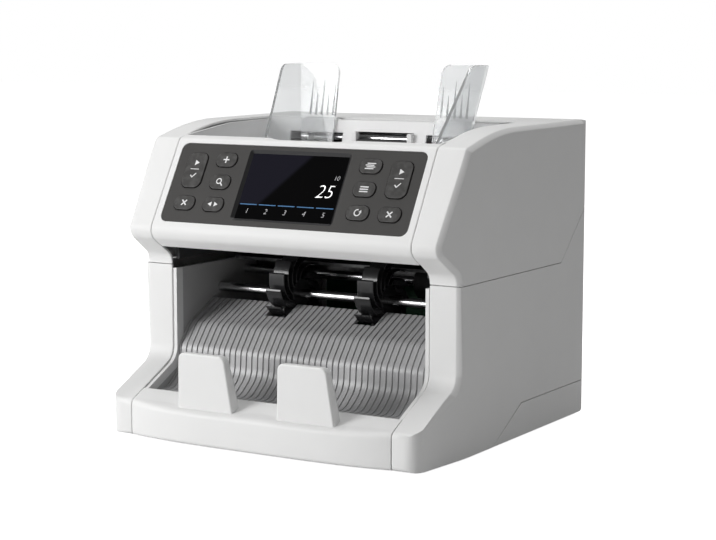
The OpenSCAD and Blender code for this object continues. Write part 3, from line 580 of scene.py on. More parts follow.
class Frame:
    """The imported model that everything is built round."""

    nodes: dict[str, Piece] = {}
    slots: dict[str, str] = {}
    bodies: dict[str, str] = {}

    @classmethod
    def take(cls, frame: dict) -> None:
        """Keeps the nodes, their material slots and the bodies they ride on.
        """
        cls.nodes = frame["nodes"]
        cls.slots = {part["node"]: part["material_slot"] for part in frame["record"]["subparts"]}
        cls.bodies = {node: body_of(obj)[0] for node, obj in cls.nodes.items()}


@dataclass
class SubAssembly:
    """What every sub-assembly can do: hand over a finished piece, or dress a CAD node as it is.

    The sizes of the sub-assemblies are in millimetres, and their angles in degrees.
    """

    paints: Paintbox

    def hand_over(self, obj: Piece, finish: str, body: str, slot: str, *nodes: str) -> None:
        """Gives a finished piece its material, its body and the CAD nodes that it stands for.

        Args:
            obj: the piece.
            finish: a name in FINISHES.
            body: the CAD body it rides on.
            slot: the record's material slot; not used.
            nodes: the CAD nodes it replaces.
        """
        obj.data.materials.clear()
        obj.data.materials.append(self.paints.material(finish))
        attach(obj, body)
        if nodes:
            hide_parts(*nodes)
        LOG.info("%s on %s, %d faces", obj.name, body, len(obj.data.polygons))

    def second_finish(self, obj: Piece, finish: str, rule: Callable[[Vector], bool]) -> None:
        """Gives some faces of a handed-over piece another finish.

        Args:
            obj: the piece.
            finish: a name in FINISHES.
            rule: takes a face's middle in millimetres.
        """
        obj.data.materials.append(self.paints.material(finish))
        for face in obj.data.polygons:
            face.material_index = int(rule(in_mm(face.center)))

    def stand_in(self, obj: Piece, node: str) -> None:
        """Hands over a piece that takes the place, body and finish of one CAD node."""
        slot = Frame.slots[node]
        self.hand_over(obj, slot, Frame.bodies[node], slot, node)

    def eased(self, node: str, radius: float, segments: int = 2, turn: float = 40.0) -> None:
        """Replaces a CAD node by the same shape with its outward edges eased.

        Args:
            node: the CAD node.
            radius: radius of the easing in millimetres.
            segments: faces across the easing.
            turn: edges that turn by more are eased.
        """
        obj = copy_of(node, f"{node}_eased")
        round_edges(obj, sharp(turn), radius, segments)
        polish(obj)
        self.stand_in(obj, node)

    def dress(self, *nodes: str) -> None:
        """Gives CAD nodes that keep their shape the material of their slot.

        Args:
            nodes: the CAD nodes.
        """
        for node in nodes:
            obj = Frame.nodes[node]
            obj.data.materials.clear()
            obj.data.materials.append(self.paints.material(Frame.slots[node]))
            LOG.info("%s keeps its shape", node)


# Sub-assemblies


@dataclass
class Housings(SubAssembly):
    """The white mouldings behind the front bezel: side and upper housings, tray and rear cover."""

    half_width: float = 119.5
    corner_reach: float = 20.0
    corner_x: float = 0.2
    least_turn: float = 14.0
    straight: float = 0.99
    side_fillet: float = 3.5
    side_profile: float = 0.32
    upper_rim_y: float = 46.0
    lower_rim_z: float = 100.0
    bend_y: float = 52.0
    facets_y: tuple[float, float] = (40.0, 64.0)
    facets_depth: float = 6.0
    facet_turn: float = 1.5
    facet_x: float = 0.985
    seam_x: float = 97.3
    seam_ease: float = 0.8
    cover_ease: float = 0.4

    def _outer_wall(self, edge: Edge) -> bool:
        """True for an edge between a side or corner wall and a face of the front profile.

        Args:
            edge: the edge.

        Returns:
            Whether it is one.
        """
        upright = abs(edge.wall.z) < NIL and abs(edge.wall.x) > self.corner_x
        outside = abs(edge.middle.x) > self.half_width - self.corner_reach
        return edge.turn > self.least_turn and upright and outside and abs(edge.profile.x) < NIL

    def _upper_side(self, edge: Edge) -> bool:
        """True for a side edge of the upper housing, without its parting rims and rear corners.

        Args:
            edge: the edge.

        Returns:
            Whether it is one.
        """
        rim = edge.profile.z < -TILTED and edge.middle.y > self.upper_rim_y
        rear_corner = abs(edge.wall.x) < self.straight and edge.middle.y > self.bend_y
        return self._outer_wall(edge) and not rim and not rear_corner

    def _lower_side(self, edge: Edge) -> bool:
        """True for a straight side edge of a lower housing, without its parting rims and underside.

        Args:
            edge: the edge.

        Returns:
            Whether it is one.
        """
        rim = edge.middle.z > self.lower_rim_z and edge.profile.z > TILTED
        straight = abs(edge.wall.x) > self.straight
        return self._outer_wall(edge) and straight and not rim and edge.profile.z > -TILTED

    def _facet(self, edge: Edge) -> bool:
        """True for an edge between the narrow facets where a side wall bends.

        Args:
            edge: the edge.

        Returns:
            Whether it is one.
        """
        outside = abs(edge.middle.x) > self.half_width - self.facets_depth
        first, last = self.facets_y
        return (abs(edge.turn) < self.facet_turn and abs(edge.profile.x) > self.facet_x
                and outside and first < edge.middle.y < last)

    def build(self) -> None:
        """Makes the mouldings. The side walls get one bend in place of their facets."""
        for node, rule in (("upper_housing", self._upper_side),
                           ("left_lower_housing", self._lower_side),
                           ("right_lower_housing", self._lower_side)):
            obj = copy_of(node, f"{node}_moulding")
            with editing(obj):
                pick_edges(obj, self._facet)
                bpy.ops.mesh.dissolve_edges(use_verts=False, use_face_split=False)
                cut(spot(0.0, self.bend_y, 0.0), Y_AXIS)
            round_edges(obj, seam_lip(self.seam_x), self.seam_ease, segments=3, clamp=False)
            round_edges(obj, rule, self.side_fillet, segments=6, clamp=False,
                        profile=self.side_profile)
            round_edges(obj, sharp(SQUARE), self.seam_ease)
            polish(obj, WIDE)
            self.stand_in(obj, node)
        self.eased("base_tray", self.seam_ease)
        self.eased("rear_lower_cover", self.cover_ease)


@dataclass
class FrontBezel(SubAssembly):
    """The bowed bezel across the base front, with its two note stops.

    Its skin runs from 0 at the lower edge over the foot, the front and the shoulder to 1 at the
    rear edge. Of the paired sizes of a stop, the first is at its foot and the second at its top.
    """

    half: float = 97.05
    depth: float = 13.0
    bow: float = 6.5
    bow_power: int = 4
    height: float = 22.5
    rear_height: float = 28.93
    lift: float = 0.2
    foot_round: float = 2.5
    foot_end: float = 0.2
    front_end: float = 0.3
    shoulder: float = 4.6
    shoulder_end: float = 0.85
    shoulder_back: float = 3.0
    pull_up: float = 0.85
    pull_back: float = 0.72
    pull_tilt: float = 0.6
    wall: float = 2.0
    end_turn: float = 60.0
    end_ease: float = 0.8
    stations: int = 48
    steps: int = 30
    stop_x: float = 37.5
    stop_half: tuple[float, float] = (21.4, 17.5)
    stop_z: tuple[float, float] = (18.5, 58.8)
    stop_front: tuple[float, float] = (4.8, 0.2)
    stop_rear: tuple[float, float] = (14.5, 6.2)
    stop_corner: float = 4.0
    stop_ease: float = 1.3
    stop_sunk: float = 1.0

    def _bowed(self, x: float) -> float:
        """The share of the bow at a place across, from 1 in the middle to 0 at the ends."""
        return 1.0 - (x / self.half) ** self.bow_power

    def _skin(self, x: float, along: float) -> Vector:
        """A point of the outer skin in millimetres.

        Args:
            x: to the right of the middle.
            along: 0 at the lower edge to 1 at the rear edge.

        Returns:
            The point.
        """
        front = -self.bow * self._bowed(x)
        low = self.lift * self._bowed(x)
        shoulder = self.height - self.shoulder
        slope = (self.rear_height - self.height) / self.depth
        if along < self.foot_end:
            turn = math.radians(90.0 * along / self.foot_end)
            return Vector((x, front + self.foot_round * (1.0 - math.sin(turn)),
                           low + self.foot_round * (1.0 - math.cos(turn))))
        if along < self.front_end:
            start = low + self.foot_round
            share = (along - self.foot_end) / (self.front_end - self.foot_end)
            return Vector((x, front, start + (shoulder - start) * share))
        back = self.shoulder_back
        if along < self.shoulder_end:
            t = (along - self.front_end) / (self.shoulder_end - self.front_end)
            first = Vector((x, front, shoulder))
            second = Vector((x, front, shoulder + self.shoulder * self.pull_up))
            end = Vector((x, back, self.height + back * slope))
            pull = (back - front) * self.pull_back
            third = end - Vector((0.0, 1.0, slope * self.pull_tilt)) * pull
            return (first * (1 - t) ** 3 + second * (3 * t * (1 - t) ** 2)
                    + third * (3 * t * t * (1 - t)) + end * t ** 3)
        reach = back + (self.depth - back) * (along - self.shoulder_end) / (1.0 - self.shoulder_end)
        return Vector((x, reach, self.height + reach * slope))

    def _shell(self) -> Piece:
        """The swept shell, with eased ends.

        Returns:
            The shell.
        """
        shell = fresh(bpy.ops.mesh.primitive_grid_add, x_subdivisions=self.stations,
                      y_subdivisions=self.steps, size=2.0)
        for vertex in shell.data.vertices:
            vertex.co = spot(*self._skin(vertex.co.x * self.half, (vertex.co.y + 1.0) / 2))
        shell.data.update()
        if shell.data.polygons[0].normal.z > 0.0:
            shell.data.flip_normals()
        apply_modifier(shell, "SOLIDIFY", thickness=self.wall * MM, offset=-1.0,
                       use_even_offset=True)
        round_edges(shell, lambda e: e.turn > self.end_turn and abs(e.middle.x) > self.half - CLOSE,
                    self.end_ease, segments=3)
        return shell

    def _stop(self) -> Piece:
        """The right note stop: a leaning wedge with rounded top corners.

        Returns:
            The stop.
        """
        stop = fresh(bpy.ops.mesh.primitive_cube_add, size=2.0)
        front = -self.bow * self._bowed(self.stop_x)
        for vertex in stop.data.vertices:
            end = int(vertex.co.z > 0.0)
            reach = self.stop_rear if vertex.co.y > 0.0 else self.stop_front
            vertex.co = spot(self.stop_x + vertex.co.x * self.stop_half[end], front + reach[end],
                             self.stop_z[end])
        stop.data.update()
        round_edges(stop, lambda e: e.profile.z > ALONG and abs(e.wall.x) > ALONG,
                    self.stop_corner, segments=6)
        above = self.stop_z[0] + self.stop_sunk
        round_edges(stop, lambda e: sharp()(e) and e.middle.z > above, self.stop_ease,
                    segments=4)
        return stop

    def build(self) -> None:
        """Makes the shell and sets the two stops on it."""
        right = self._stop()
        left = right.copy()
        left.data = right.data.copy()
        left.data.transform(Matrix.Translation((-2 * self.stop_x * MM, 0.0, 0.0)))
        bpy.context.collection.objects.link(left)
        bezel = joined([self._shell(), right, left], "base_bezel_moulding")
        polish(bezel, WIDE)
        self.stand_in(bezel, "base_bezel")


@dataclass
class StackerPocket(SubAssembly):
    """The open pocket: grooved ramp, side frames and the finned wheels."""

    ramp_half: float = 94.3
    ramp_low: float = 20.0
    ramp_tilt: float = 0.02
    ramp_ease: float = 0.3
    groove_pitch: float = 4.4
    groove_width: float = 0.8
    groove_spare: float = 0.01
    rib_height: float = 0.7
    rib_turn: float = 60.0
    rib_ease: float = 0.18
    frame_ease: float = 0.3
    rim_end: float = 53.0
    rim_band: float = 6.5
    flare_depth: float = 45.5
    flare_z: tuple[float, float] = (22.5, 45.0)
    wheel_ease: float = 0.25

    def _bare(self, middle: Vector, normal: Vector) -> bool:
        """True for a face of the ramp that isn't part of its upper skin."""
        skin = abs(normal.x) < NIL and normal.z > self.ramp_tilt
        return not (skin and middle.z > self.ramp_low)

    def _groove(self, middle: Vector, normal: Vector) -> bool:
        """True for a face between the two cuts of a groove."""
        centre = self.groove_pitch * round(middle.x / self.groove_pitch)
        return abs(middle.x - centre) < self.groove_width / 2 + self.groove_spare

    def _ramp_ribs(self) -> None:
        """Raises flat ribs on the ramp's skin, with narrow grooves between them."""
        skin = copy_of("stacker_ramp", "ramp_ribs")
        count = int(self.ramp_half / self.groove_pitch)
        with editing(skin):
            pick_faces(skin, self._bare)
            bpy.ops.mesh.delete(type="FACE")
            for index in range(-count, count + 1):
                for side in (-0.5, 0.5):
                    x = index * self.groove_pitch + side * self.groove_width
                    cut(spot(x, 0.0, 0.0), X_AXIS)
            pick_faces(skin, self._groove)
            bpy.ops.mesh.delete(type="FACE")
        apply_modifier(skin, "SOLIDIFY", thickness=self.rib_height * MM, offset=1.0,
                       use_even_offset=True)
        round_edges(skin, sharp(self.rib_turn), self.rib_ease, segments=1)
        polish(skin, WIDE)
        self.hand_over(skin, "ramp_grey", "base", "ramp_grey")

    def _frame(self, node: str) -> None:
        """A pocket wall with a band in the housing's white along the post and the flare.

        Args:
            node: the CAD node.
        """
        low, high = self.flare_z
        rise = Vector((0.0, low - high, self.flare_depth)).normalized()
        band = Vector((0.0, 0.0, low)) - rise * self.rim_band
        wall = copy_of(node, f"{node}_eased")
        with editing(wall):
            cut(spot(0.0, self.rim_end, 0.0), Y_AXIS)
            cut(spot(*band), rise)
        round_edges(wall, sharp(), self.frame_ease, segments=1)
        polish(wall)
        self.hand_over(wall, "pocket_grey", Frame.bodies[node], Frame.slots[node], node)
        self.second_finish(wall, "housing_white",
                           lambda p: p.y < self.rim_end and (p - band).dot(rise) > 0.0)

    def build(self) -> None:
        """Makes the ramp, its ribs, the frames and the wheels."""
        self._ramp_ribs()
        self.eased("stacker_ramp", self.ramp_ease, segments=1)
        for node in ("lower_left_frame", "lower_right_frame"):
            self._frame(node)
        self.eased("stacker_wheels", self.wheel_ease, segments=1)


class Mark(Enum):
    """Plain pictograms for the keys."""

    START = "triangle over a line over a tick"
    ADD = "plus"
    DETECT = "lens with a handle"
    CLEAR = "cross"
    MODE = "two opposite triangles"
    BATCH = "stack of bars"
    MENU = "three bars"
    AUTO = "open ring with an arrow head"


@dataclass(frozen=True)
class Key:
    """One key: its place on the panel, in millimetres, and its pictogram."""

    name: str
    x: float
    down: float
    mark: Mark


KEYS: tuple[Key, ...] = (
    Key("start_left", -76.8, 22.89, Mark.START), Key("add", -54.2, 14.65, Mark.ADD),
    Key("detect", -54.2, 30.53, Mark.DETECT), Key("clear_left", -76.8, 46.41, Mark.CLEAR),
    Key("mode", -54.2, 46.41, Mark.MODE), Key("batch", 54.2, 14.65, Mark.BATCH),
    Key("menu", 54.2, 30.53, Mark.MENU), Key("auto", 54.2, 46.41, Mark.AUTO),
    Key("start_right", 76.8, 22.89, Mark.START), Key("clear_right", 76.8, 46.41, Mark.CLEAR),
)


class Sketch:
    """Flat marks drawn in millimetres on a plane, then laid on the panel as thin print."""

    SLANT = 0.2
    THINNED = 0.02
    DIGIT_STEPS = 6
    DIGIT_WELD = 0.001
    RING_STEPS = 32

    def __init__(self) -> None:
        """Starts with nothing drawn."""
        self.parts: list[Piece] = []

    def bar(self, x: float, y: float, width: float, height: float, turn: float = 0.0) -> None:
        """A straight stroke.

        Args:
            x: its middle to the right.
            y: its middle upwards.
            width: its length.
            height: its thickness.
            turn: its angle in degrees.
        """
        stroke = fresh(bpy.ops.mesh.primitive_plane_add, size=1.0, location=(x, y, 0.0),
                       rotation=(0.0, 0.0, math.radians(turn)))
        stroke.scale = (width, height, 1.0)
        self.parts.append(stroke)

    def triangle(self, x: float, y: float, radius: float, turn: float) -> None:
        """A solid triangle with one corner towards an angle in degrees."""
        self.parts.append(fresh(
            bpy.ops.mesh.primitive_circle_add, vertices=3, radius=radius, fill_type="NGON",
            location=(x, y, 0.0), rotation=(0.0, 0.0, math.radians(turn - 90.0))))

    def ring(self, x: float, y: float, radius: float, stroke: float,
             gap: tuple[float, float] | None = None) -> None:
        """A ring, open between two angles where a gap is given.

        Args:
            x: its middle to the right.
            y: its middle upwards.
            radius: its outer radius.
            stroke: its thickness.
            gap: first and last angle of the opening, in degrees.
        """
        ring = fresh(bpy.ops.mesh.primitive_circle_add, vertices=self.RING_STEPS, radius=radius,
                     fill_type="NGON")
        with editing(ring):
            bpy.ops.mesh.select_all(action="SELECT")
            bpy.ops.mesh.inset(thickness=stroke)
            bpy.ops.mesh.delete(type="FACE")
            mesh = bmesh.from_edit_mesh(ring.data)
            for face in mesh.faces:
                middle = face.calc_center_median()
                angle = math.degrees(math.atan2(middle.y, middle.x))
                face.select_set(gap is not None and gap[0] < angle < gap[1])
            bmesh.update_edit_mesh(ring.data)
            bpy.ops.mesh.delete(type="FACE")
        ring.location = (x, y, 0.0)
        self.parts.append(ring)

    def number(self, text: str, x: float, y: float, size: float) -> None:
        """A slanted number, centred.

        Args:
            text: the digits.
            x: its middle to the right.
            y: its middle upwards.
            size: height of the digits' body.
        """
        digits = fresh(bpy.ops.object.text_add, location=(x, y, 0.0))
        digits.data.body = text
        digits.data.size = size
        digits.data.shear = self.SLANT
        digits.data.offset = -self.THINNED * size
        digits.data.align_x = "CENTER"
        digits.data.align_y = "CENTER"
        digits.data.resolution_u = self.DIGIT_STEPS
        bpy.ops.object.convert(target="MESH")
        with editing(digits):
            bpy.ops.mesh.select_all(action="SELECT")
            bpy.ops.mesh.remove_doubles(threshold=self.DIGIT_WELD)
        self.parts.append(digits)

    def lay(self, name: str, place: Matrix, thickness: float) -> Piece:
        """Turns the sketch into one thin solid at its place.

        Args:
            name: the piece's name.
            place: the plane's matrix, from millimetres to metres.
            thickness: thickness of the print in millimetres.

        Returns:
            The piece, at the origin.
        """
        obj = joined(self.parts, name)
        with editing(obj):
            bpy.ops.mesh.select_all(action="SELECT")
            bpy.ops.mesh.extrude_region_move(
                TRANSFORM_OT_translate={"value": (0.0, 0.0, thickness)})
            bpy.ops.mesh.select_all(action="SELECT")
            bpy.ops.mesh.normals_make_consistent(inside=False)
        obj.data.transform(place)
        obj.data.update()
        return obj


@dataclass
class ControlPanel(SubAssembly):
    """The leaning panel: white bezel, dark fascia, display, ten keys and their pictograms.

    Heights are above the panel face, and places on the display are from the panel's top edge.
    """

    lean: float = 30.0
    top_y: float = 55.5
    top_z: float = 189.5
    end_x: float = 97.05
    end_ease: float = 0.8
    face: float = -0.3
    fascia_ease: float = 0.5
    fascia_shading: float = 30.0
    key_low: float = 0.2
    key_top: float = 0.5
    key_ease: float = 0.35
    print_depth: float = 0.06
    screen_rim: float = 2.0
    screen_ease: float = 0.2
    screen_sink: float = 1.75
    screen_shading: float = 25.0
    rim_from: float = 0.05
    figure_sink: float = 0.02
    figure_depth: float = 0.05
    count: tuple[str, float, float, float] = ("25", 25.0, -33.0, 13.0)
    total: tuple[str, float, float, float] = ("10", 31.0, -23.2, 4.4)
    column_x: tuple[float, ...] = (-28.6, -14.3, 0.0, 14.3, 28.6)
    column_figure: tuple[float, float] = (-48.6, 5.0)
    column_bar: Triple = (-43.9, 12.6, 0.6)
    # the painted reflection on the screen: its corner, the slant and softness of its diagonal edge,
    # its lower end and its colour
    reflection_from: tuple[float, float] = (8.7, 8.0)
    reflection_slant: tuple[float, float] = (-0.764, 0.645)
    reflection_edge: float = 2.0
    reflection_end: float = 44.5
    reflection_end_edge: float = 0.5
    reflection_colour: tuple[float, float, float, float] = (0.0095, 0.0090, 0.0150, 1.0)

    def __post_init__(self) -> None:
        """Works out the panel's directions."""
        lean = math.radians(self.lean)
        self.up = Vector((0.0, math.sin(lean), math.cos(lean)))
        self.out = Vector((0.0, -math.cos(lean), math.sin(lean)))

    def place(self, x: float, down: float, height: float) -> Matrix:
        """The matrix of a drawing plane on the panel.

        Args:
            x: to the right of the middle.
            down: from the panel's top edge, along the slope.
            height: above the panel face.

        Returns:
            A matrix from millimetres on the plane to the frame.
        """
        at = spot(x, self.top_y, self.top_z) + (self.out * height - self.up * down) * MM
        turn = Matrix((Vector(X_AXIS), self.up, self.out)).transposed().to_4x4()
        return Matrix.Translation(at) @ turn @ Matrix.Scale(MM, 4)

    def height(self, point: Vector) -> float:
        """How far a point in millimetres stands above the panel face."""
        return (point - Vector((0.0, self.top_y, self.top_z))).dot(self.out)

    def _rim(self, low: float) -> EdgeRule:
        """A rule for the outward edges of faces that look out of the panel, above a height."""
        return lambda e: (sharp()(e) and self.height(e.middle) > low
                          and max(e.wall.dot(self.out), e.profile.dot(self.out)) > ALONG)

    def _mark(self, key: Key) -> None:
        """Prints a key's pictogram.

        Args:
            key: the key.
        """
        sketch = Sketch()
        match key.mark:
            case Mark.START:
                sketch.triangle(0.2, 5.2, 2.2, 0.0)
                sketch.bar(0.0, 0.6, 6.6, 0.45)
                sketch.bar(-1.1, -4.6, 2.2, 0.75, -45.0)
                sketch.bar(0.85, -3.9, 4.0, 0.75, 48.0)
            case Mark.ADD:
                sketch.bar(0.0, 0.0, 4.6, 0.9)
                sketch.bar(0.0, 0.0, 0.9, 4.6)
            case Mark.DETECT:
                sketch.ring(-0.6, 0.5, 2.1, 0.7)
                sketch.bar(1.75, -1.75, 2.4, 0.9, -45.0)
            case Mark.CLEAR:
                sketch.bar(0.0, 0.0, 5.2, 0.9, 45.0)
                sketch.bar(0.0, 0.0, 5.2, 0.9, -45.0)
            case Mark.MODE:
                sketch.triangle(-2.0, 0.0, 1.9, 180.0)
                sketch.triangle(2.0, 0.0, 1.9, 0.0)
            case Mark.BATCH:
                for level in range(4):
                    sketch.bar(0.5 if level % 2 else -0.5, 1.2 * (level - 1.5), 6.2, 0.65)
            case Mark.MENU:
                for level in range(3):
                    sketch.bar(0.0, 1.6 * (level - 1), 6.0, 0.75)
            case Mark.AUTO:
                sketch.ring(0.0, 0.0, 2.4, 0.7, (20.0, 75.0))
                sketch.triangle(2.1, 0.75, 1.25, 75.0)
        place = self.place(key.x, key.down, self.key_top - self.print_depth / 2)
        piece = sketch.lay(f"mark_{key.name}", place, self.print_depth)
        self.hand_over(piece, "print_white", f"button_{key.name}", "key_grey")

    def _light_up(self, sketch: Sketch, name: str, finish: str) -> None:
        """Lays a sketch on the screen.

        Args:
            sketch: what is drawn.
            name: the piece's name.
            finish: a name in FINISHES.
        """
        level = self.face - self.screen_sink - self.figure_sink
        piece = sketch.lay(name, self.place(0.0, 0.0, level), self.figure_depth)
        self.hand_over(piece, finish, "upper_unit", "display_black")

    def _display(self) -> None:
        """Sinks the screen below a sloping rim, paints a reflection on its upper left and lights
        its figures.
        """
        glass = copy_of("display_window", "display_screen")
        with editing(glass):
            pick_faces(glass, lambda p, n: n.dot(self.out) > ALONG)
            bpy.ops.mesh.inset(thickness=self.screen_rim * MM)
            bpy.ops.transform.translate(value=self.out * (-self.screen_sink * MM))
        round_edges(glass, self._rim(self.face - CLOSE), self.screen_ease)
        polish(glass, self.screen_shading)
        self.stand_in(glass, "display_window")
        # the rim faces take the darker rim finish, with the recess's shade painted into its colour
        rim_low = self.face - self.screen_sink + self.rim_from
        self.second_finish(glass, "screen_rim", lambda p: self.height(p) > rim_low)
        # paints a softbox's reflection on the screen as a dim navy glow
        self._paint_screen_reflection(self.paints.material("display_black"))
        count, figures, bars = Sketch(), Sketch(), Sketch()
        count.number(*self.count)
        self._light_up(count, "screen_count", "screen_white")
        figures.number(*self.total)
        for index, x in enumerate(self.column_x):
            figures.number(str(index + 1), x, *self.column_figure)
        self._light_up(figures, "screen_figures", "screen_grey")
        for x in self.column_x:
            bars.bar(x, *self.column_bar)
        self._light_up(bars, "screen_bars", "screen_blue")

    @staticmethod
    def _past(tree: Tree, way: Vector, start: Vector, blur: float) -> Socket:
        """A mask that is 0 before a point along a direction and 1 past it.

        Args:
            tree: the material's node tree.
            way: the direction.
            start: the point, in metres.
            blur: half the width of the soft edge, in millimetres.

        Returns:
            The mask.
        """
        place = add_node(tree, "TexCoord").outputs["Object"]
        along = add_node(tree, "VectorMath", {0: place, 1: way}, operation="DOT_PRODUCT")
        mask = add_node(tree, "MapRange", interpolation_type="SMOOTHSTEP", inputs={
            "Value": along.outputs["Value"], "From Min": start.dot(way) - blur * MM,
            "From Max": start.dot(way) + blur * MM})
        return mask.outputs["Result"]

    def _paint_screen_reflection(self, glass: bpy.types.Material) -> None:
        """Paints a softbox's reflection on the upper left of the screen, as a dim navy glow up to a
        soft diagonal.

        Args:
            glass: the screen's material.
        """
        tree = glass.node_tree
        across = Vector(X_AXIS) * self.reflection_slant[0] + self.up * self.reflection_slant[1]
        corner = self.place(*self.reflection_from, self.face).translation
        end = self.place(0.0, self.reflection_end, self.face).translation
        # where the painted reflection lies: past the diagonal and above its lower end
        reflection_mask = calc(tree, "MULTIPLY", self._past(tree, across, corner, self.reflection_edge),
                   self._past(tree, self.up, end, self.reflection_end_edge))
        # the painted reflection glows dim navy, and the rest of the screen stays black
        tone = add_node(tree, "Mix", {"Factor": reflection_mask, "A": BLACK, "B": self.reflection_colour},
                        data_type="RGBA")
        feed(tree.nodes["Principled BSDF"], {"Emission Color": tone.outputs["Result"],
                                             "Emission Strength": 1.0})

    def build(self) -> None:
        """Makes the bezel, the fascia, the keys with their marks and the display."""
        bezel = copy_of("panel_bezel", "panel_bezel_moulding")
        round_edges(bezel, seam_lip(self.end_x), self.end_ease, segments=3, clamp=False)
        round_edges(bezel, sharp(), self.end_ease)
        polish(bezel)
        self.stand_in(bezel, "panel_bezel")
        fascia = copy_of("key_fascia", "key_fascia_moulding")
        round_edges(fascia, self._rim(self.face - CLOSE), self.fascia_ease, segments=3)
        polish(fascia, self.fascia_shading)
        self.stand_in(fascia, "key_fascia")
        for key in KEYS:
            cap = copy_of(f"key_{key.name}", f"key_{key.name}_cap")
            round_edges(cap, self._rim(self.key_low), self.key_ease, segments=3)
            polish(cap, WIDE)
            self.stand_in(cap, f"key_{key.name}")
            self._mark(key)
        self._display()
        self.dress("control_board")


@dataclass
class Hopper(SubAssembly):
    """The note hopper: grey tray, guide rod and the two clear guides with their ribs."""

    wall_x: float = 88.0
    wall_rise: float = 0.9
    top_tilt: float = 0.5
    tray_ease: float = 0.35
    guide_ease: float = 0.45
    foot: tuple[float, float] = (153.0, 180.0)
    fold_x: float = 65.9
    lean: float = 13.2
    rib_low: float = 22.5
    rib_steps: tuple[float, ...] = (5.0, 9.6, 14.2, 18.8, 23.4)
    rib_rise: tuple[float, ...] = (24.0, 16.0, 25.0, 15.0, 21.0)
    rib_depth: float = 2.0
    rib_width: float = 1.0
    rib_sunk: float = 0.1
    rib_ease: float = 0.2
    tip_depth: float = 0.2
    tip_share: float = 0.35

    def _guide_ribs(self, side: float, node: str) -> None:
        """Tapered stiffening ribs on the rear of a guide's back wall.

        Args:
            side: 1 for the right guide and -1 for the left one.
            node: the guide's CAD node.
        """
        ribs: list[Piece] = []
        for step, rise in zip(self.rib_steps, self.rib_rise):
            middle = Vector((side * (self.fold_x - step), self.rib_depth / 2 - self.rib_sunk,
                             self.rib_low + rise / 2))
            rib = fresh(bpy.ops.mesh.primitive_cube_add, size=1.0)
            rib.scale = (self.rib_width, self.rib_depth, rise)
            rib.location = middle
            bpy.ops.object.transform_apply(location=True, rotation=True, scale=True)
            for vertex in rib.data.vertices:
                if vertex.co.z > middle.z:
                    vertex.co.y = min(vertex.co.y, self.tip_depth)
                    vertex.co.x = middle.x + self.tip_share * (vertex.co.x - middle.x)
            ribs.append(rib)
        piece = joined(ribs, f"{node}_ribs")
        lean = Matrix.Rotation(math.radians(-self.lean), 4, "X")
        piece.data.transform(Matrix.Translation(spot(0.0, *self.foot)) @ Matrix.Scale(MM, 4) @ lean)
        piece.data.update()
        round_edges(piece, sharp(), self.rib_ease)
        polish(piece)
        self.hand_over(piece, "guide_rib", Frame.bodies[node], "guide_clear")

    def build(self) -> None:
        """Makes the tray, whose side walls are raised, the rod and the guides."""
        tray = copy_of("hopper_tray", "hopper_tray_eased")
        with editing(tray):
            pick_faces(tray, lambda p, n: n.z > self.top_tilt and abs(p.x) > self.wall_x
                       and p.z > self.foot[1])
            bpy.ops.transform.translate(value=(0.0, 0.0, self.wall_rise * MM))
        round_edges(tray, sharp(), self.tray_ease)
        polish(tray)
        self.stand_in(tray, "hopper_tray")
        for side, node in ((-1.0, "guide_left"), (1.0, "guide_right")):
            self.eased(node, self.guide_ease, turn=SQUARE)
            self._guide_ribs(side, node)
        self.dress("guide_rod")


@dataclass
class Transport(SubAssembly):
    """The note path inside: frames, guides, sensors, rollers, shafts, belts and motors."""

    ease: float = 0.4
    eased_nodes: tuple[str, ...] = (
        "drive_rollers", "transport_rollers", "feed_rollers", "pickup_rollers", "pinch_rollers",
        "retard_roller", "upper_transport_guide", "lower_transport_guide", "upper_image_sensor",
        "lower_image_sensor", "drive_motor", "feed_motor")
    kept_nodes: tuple[str, ...] = (
        "upper_left_frame", "upper_right_frame", "drive_belt", "upper_belt", "pickup_belt",
        "hinge_rod", "motor_pulley", "drive_shaft", "stacker_shaft", "transport_shaft",
        "feed_shaft", "pickup_shaft", "feed_motor_pulley", "power_supply")

    def build(self) -> None:
        """Eases what can be seen through the pocket and dresses the rest."""
        for node in self.eased_nodes:
            self.eased(node, self.ease)
        self.dress(*self.kept_nodes)


@dataclass
class RearSockets(SubAssembly):
    """The rear: mains inlet, rocker switch and the board with its sockets."""

    ease: float = 0.5
    socket_face: float = 227.1
    socket_wall: float = 1.0
    socket_depth: float = 7.0
    metal_from: float = 208.2

    def build(self) -> None:
        """Makes the inlet, the rocker and the sockets."""
        self.eased("power_inlet", self.ease)
        self.eased("power_switch", self.ease)
        board = copy_of("main_board", "main_board_sockets")
        with editing(board):
            pick_faces(board, lambda p, n: n.y > ALONG and p.y > self.socket_face)
            bpy.ops.mesh.inset(thickness=self.socket_wall * MM, use_individual=True)
            bpy.ops.mesh.extrude_region_move(
                TRANSFORM_OT_translate={"value": (0.0, -self.socket_depth * MM, 0.0)})
        polish(board)
        self.hand_over(board, "board_green", "base", "board_green", "main_board")
        self.second_finish(board, "case_metal", lambda p: p.y > self.metal_from)


@dataclass
class Underside(SubAssembly):
    """The feet and the base screws."""

    foot_ease: float = 0.7
    screw_ease: float = 0.25

    def build(self) -> None:
        """Makes the feet and the screws."""
        self.eased("feet", self.foot_ease, segments=3)
        self.eased("base_screws", self.screw_ease)


# Studio


@dataclass(frozen=True)
class Softbox:
    """An area light: where it hangs and what it looks at in metres, its size and its watts."""

    name: str
    at: Triple
    aim: Triple
    size: float
    power: float


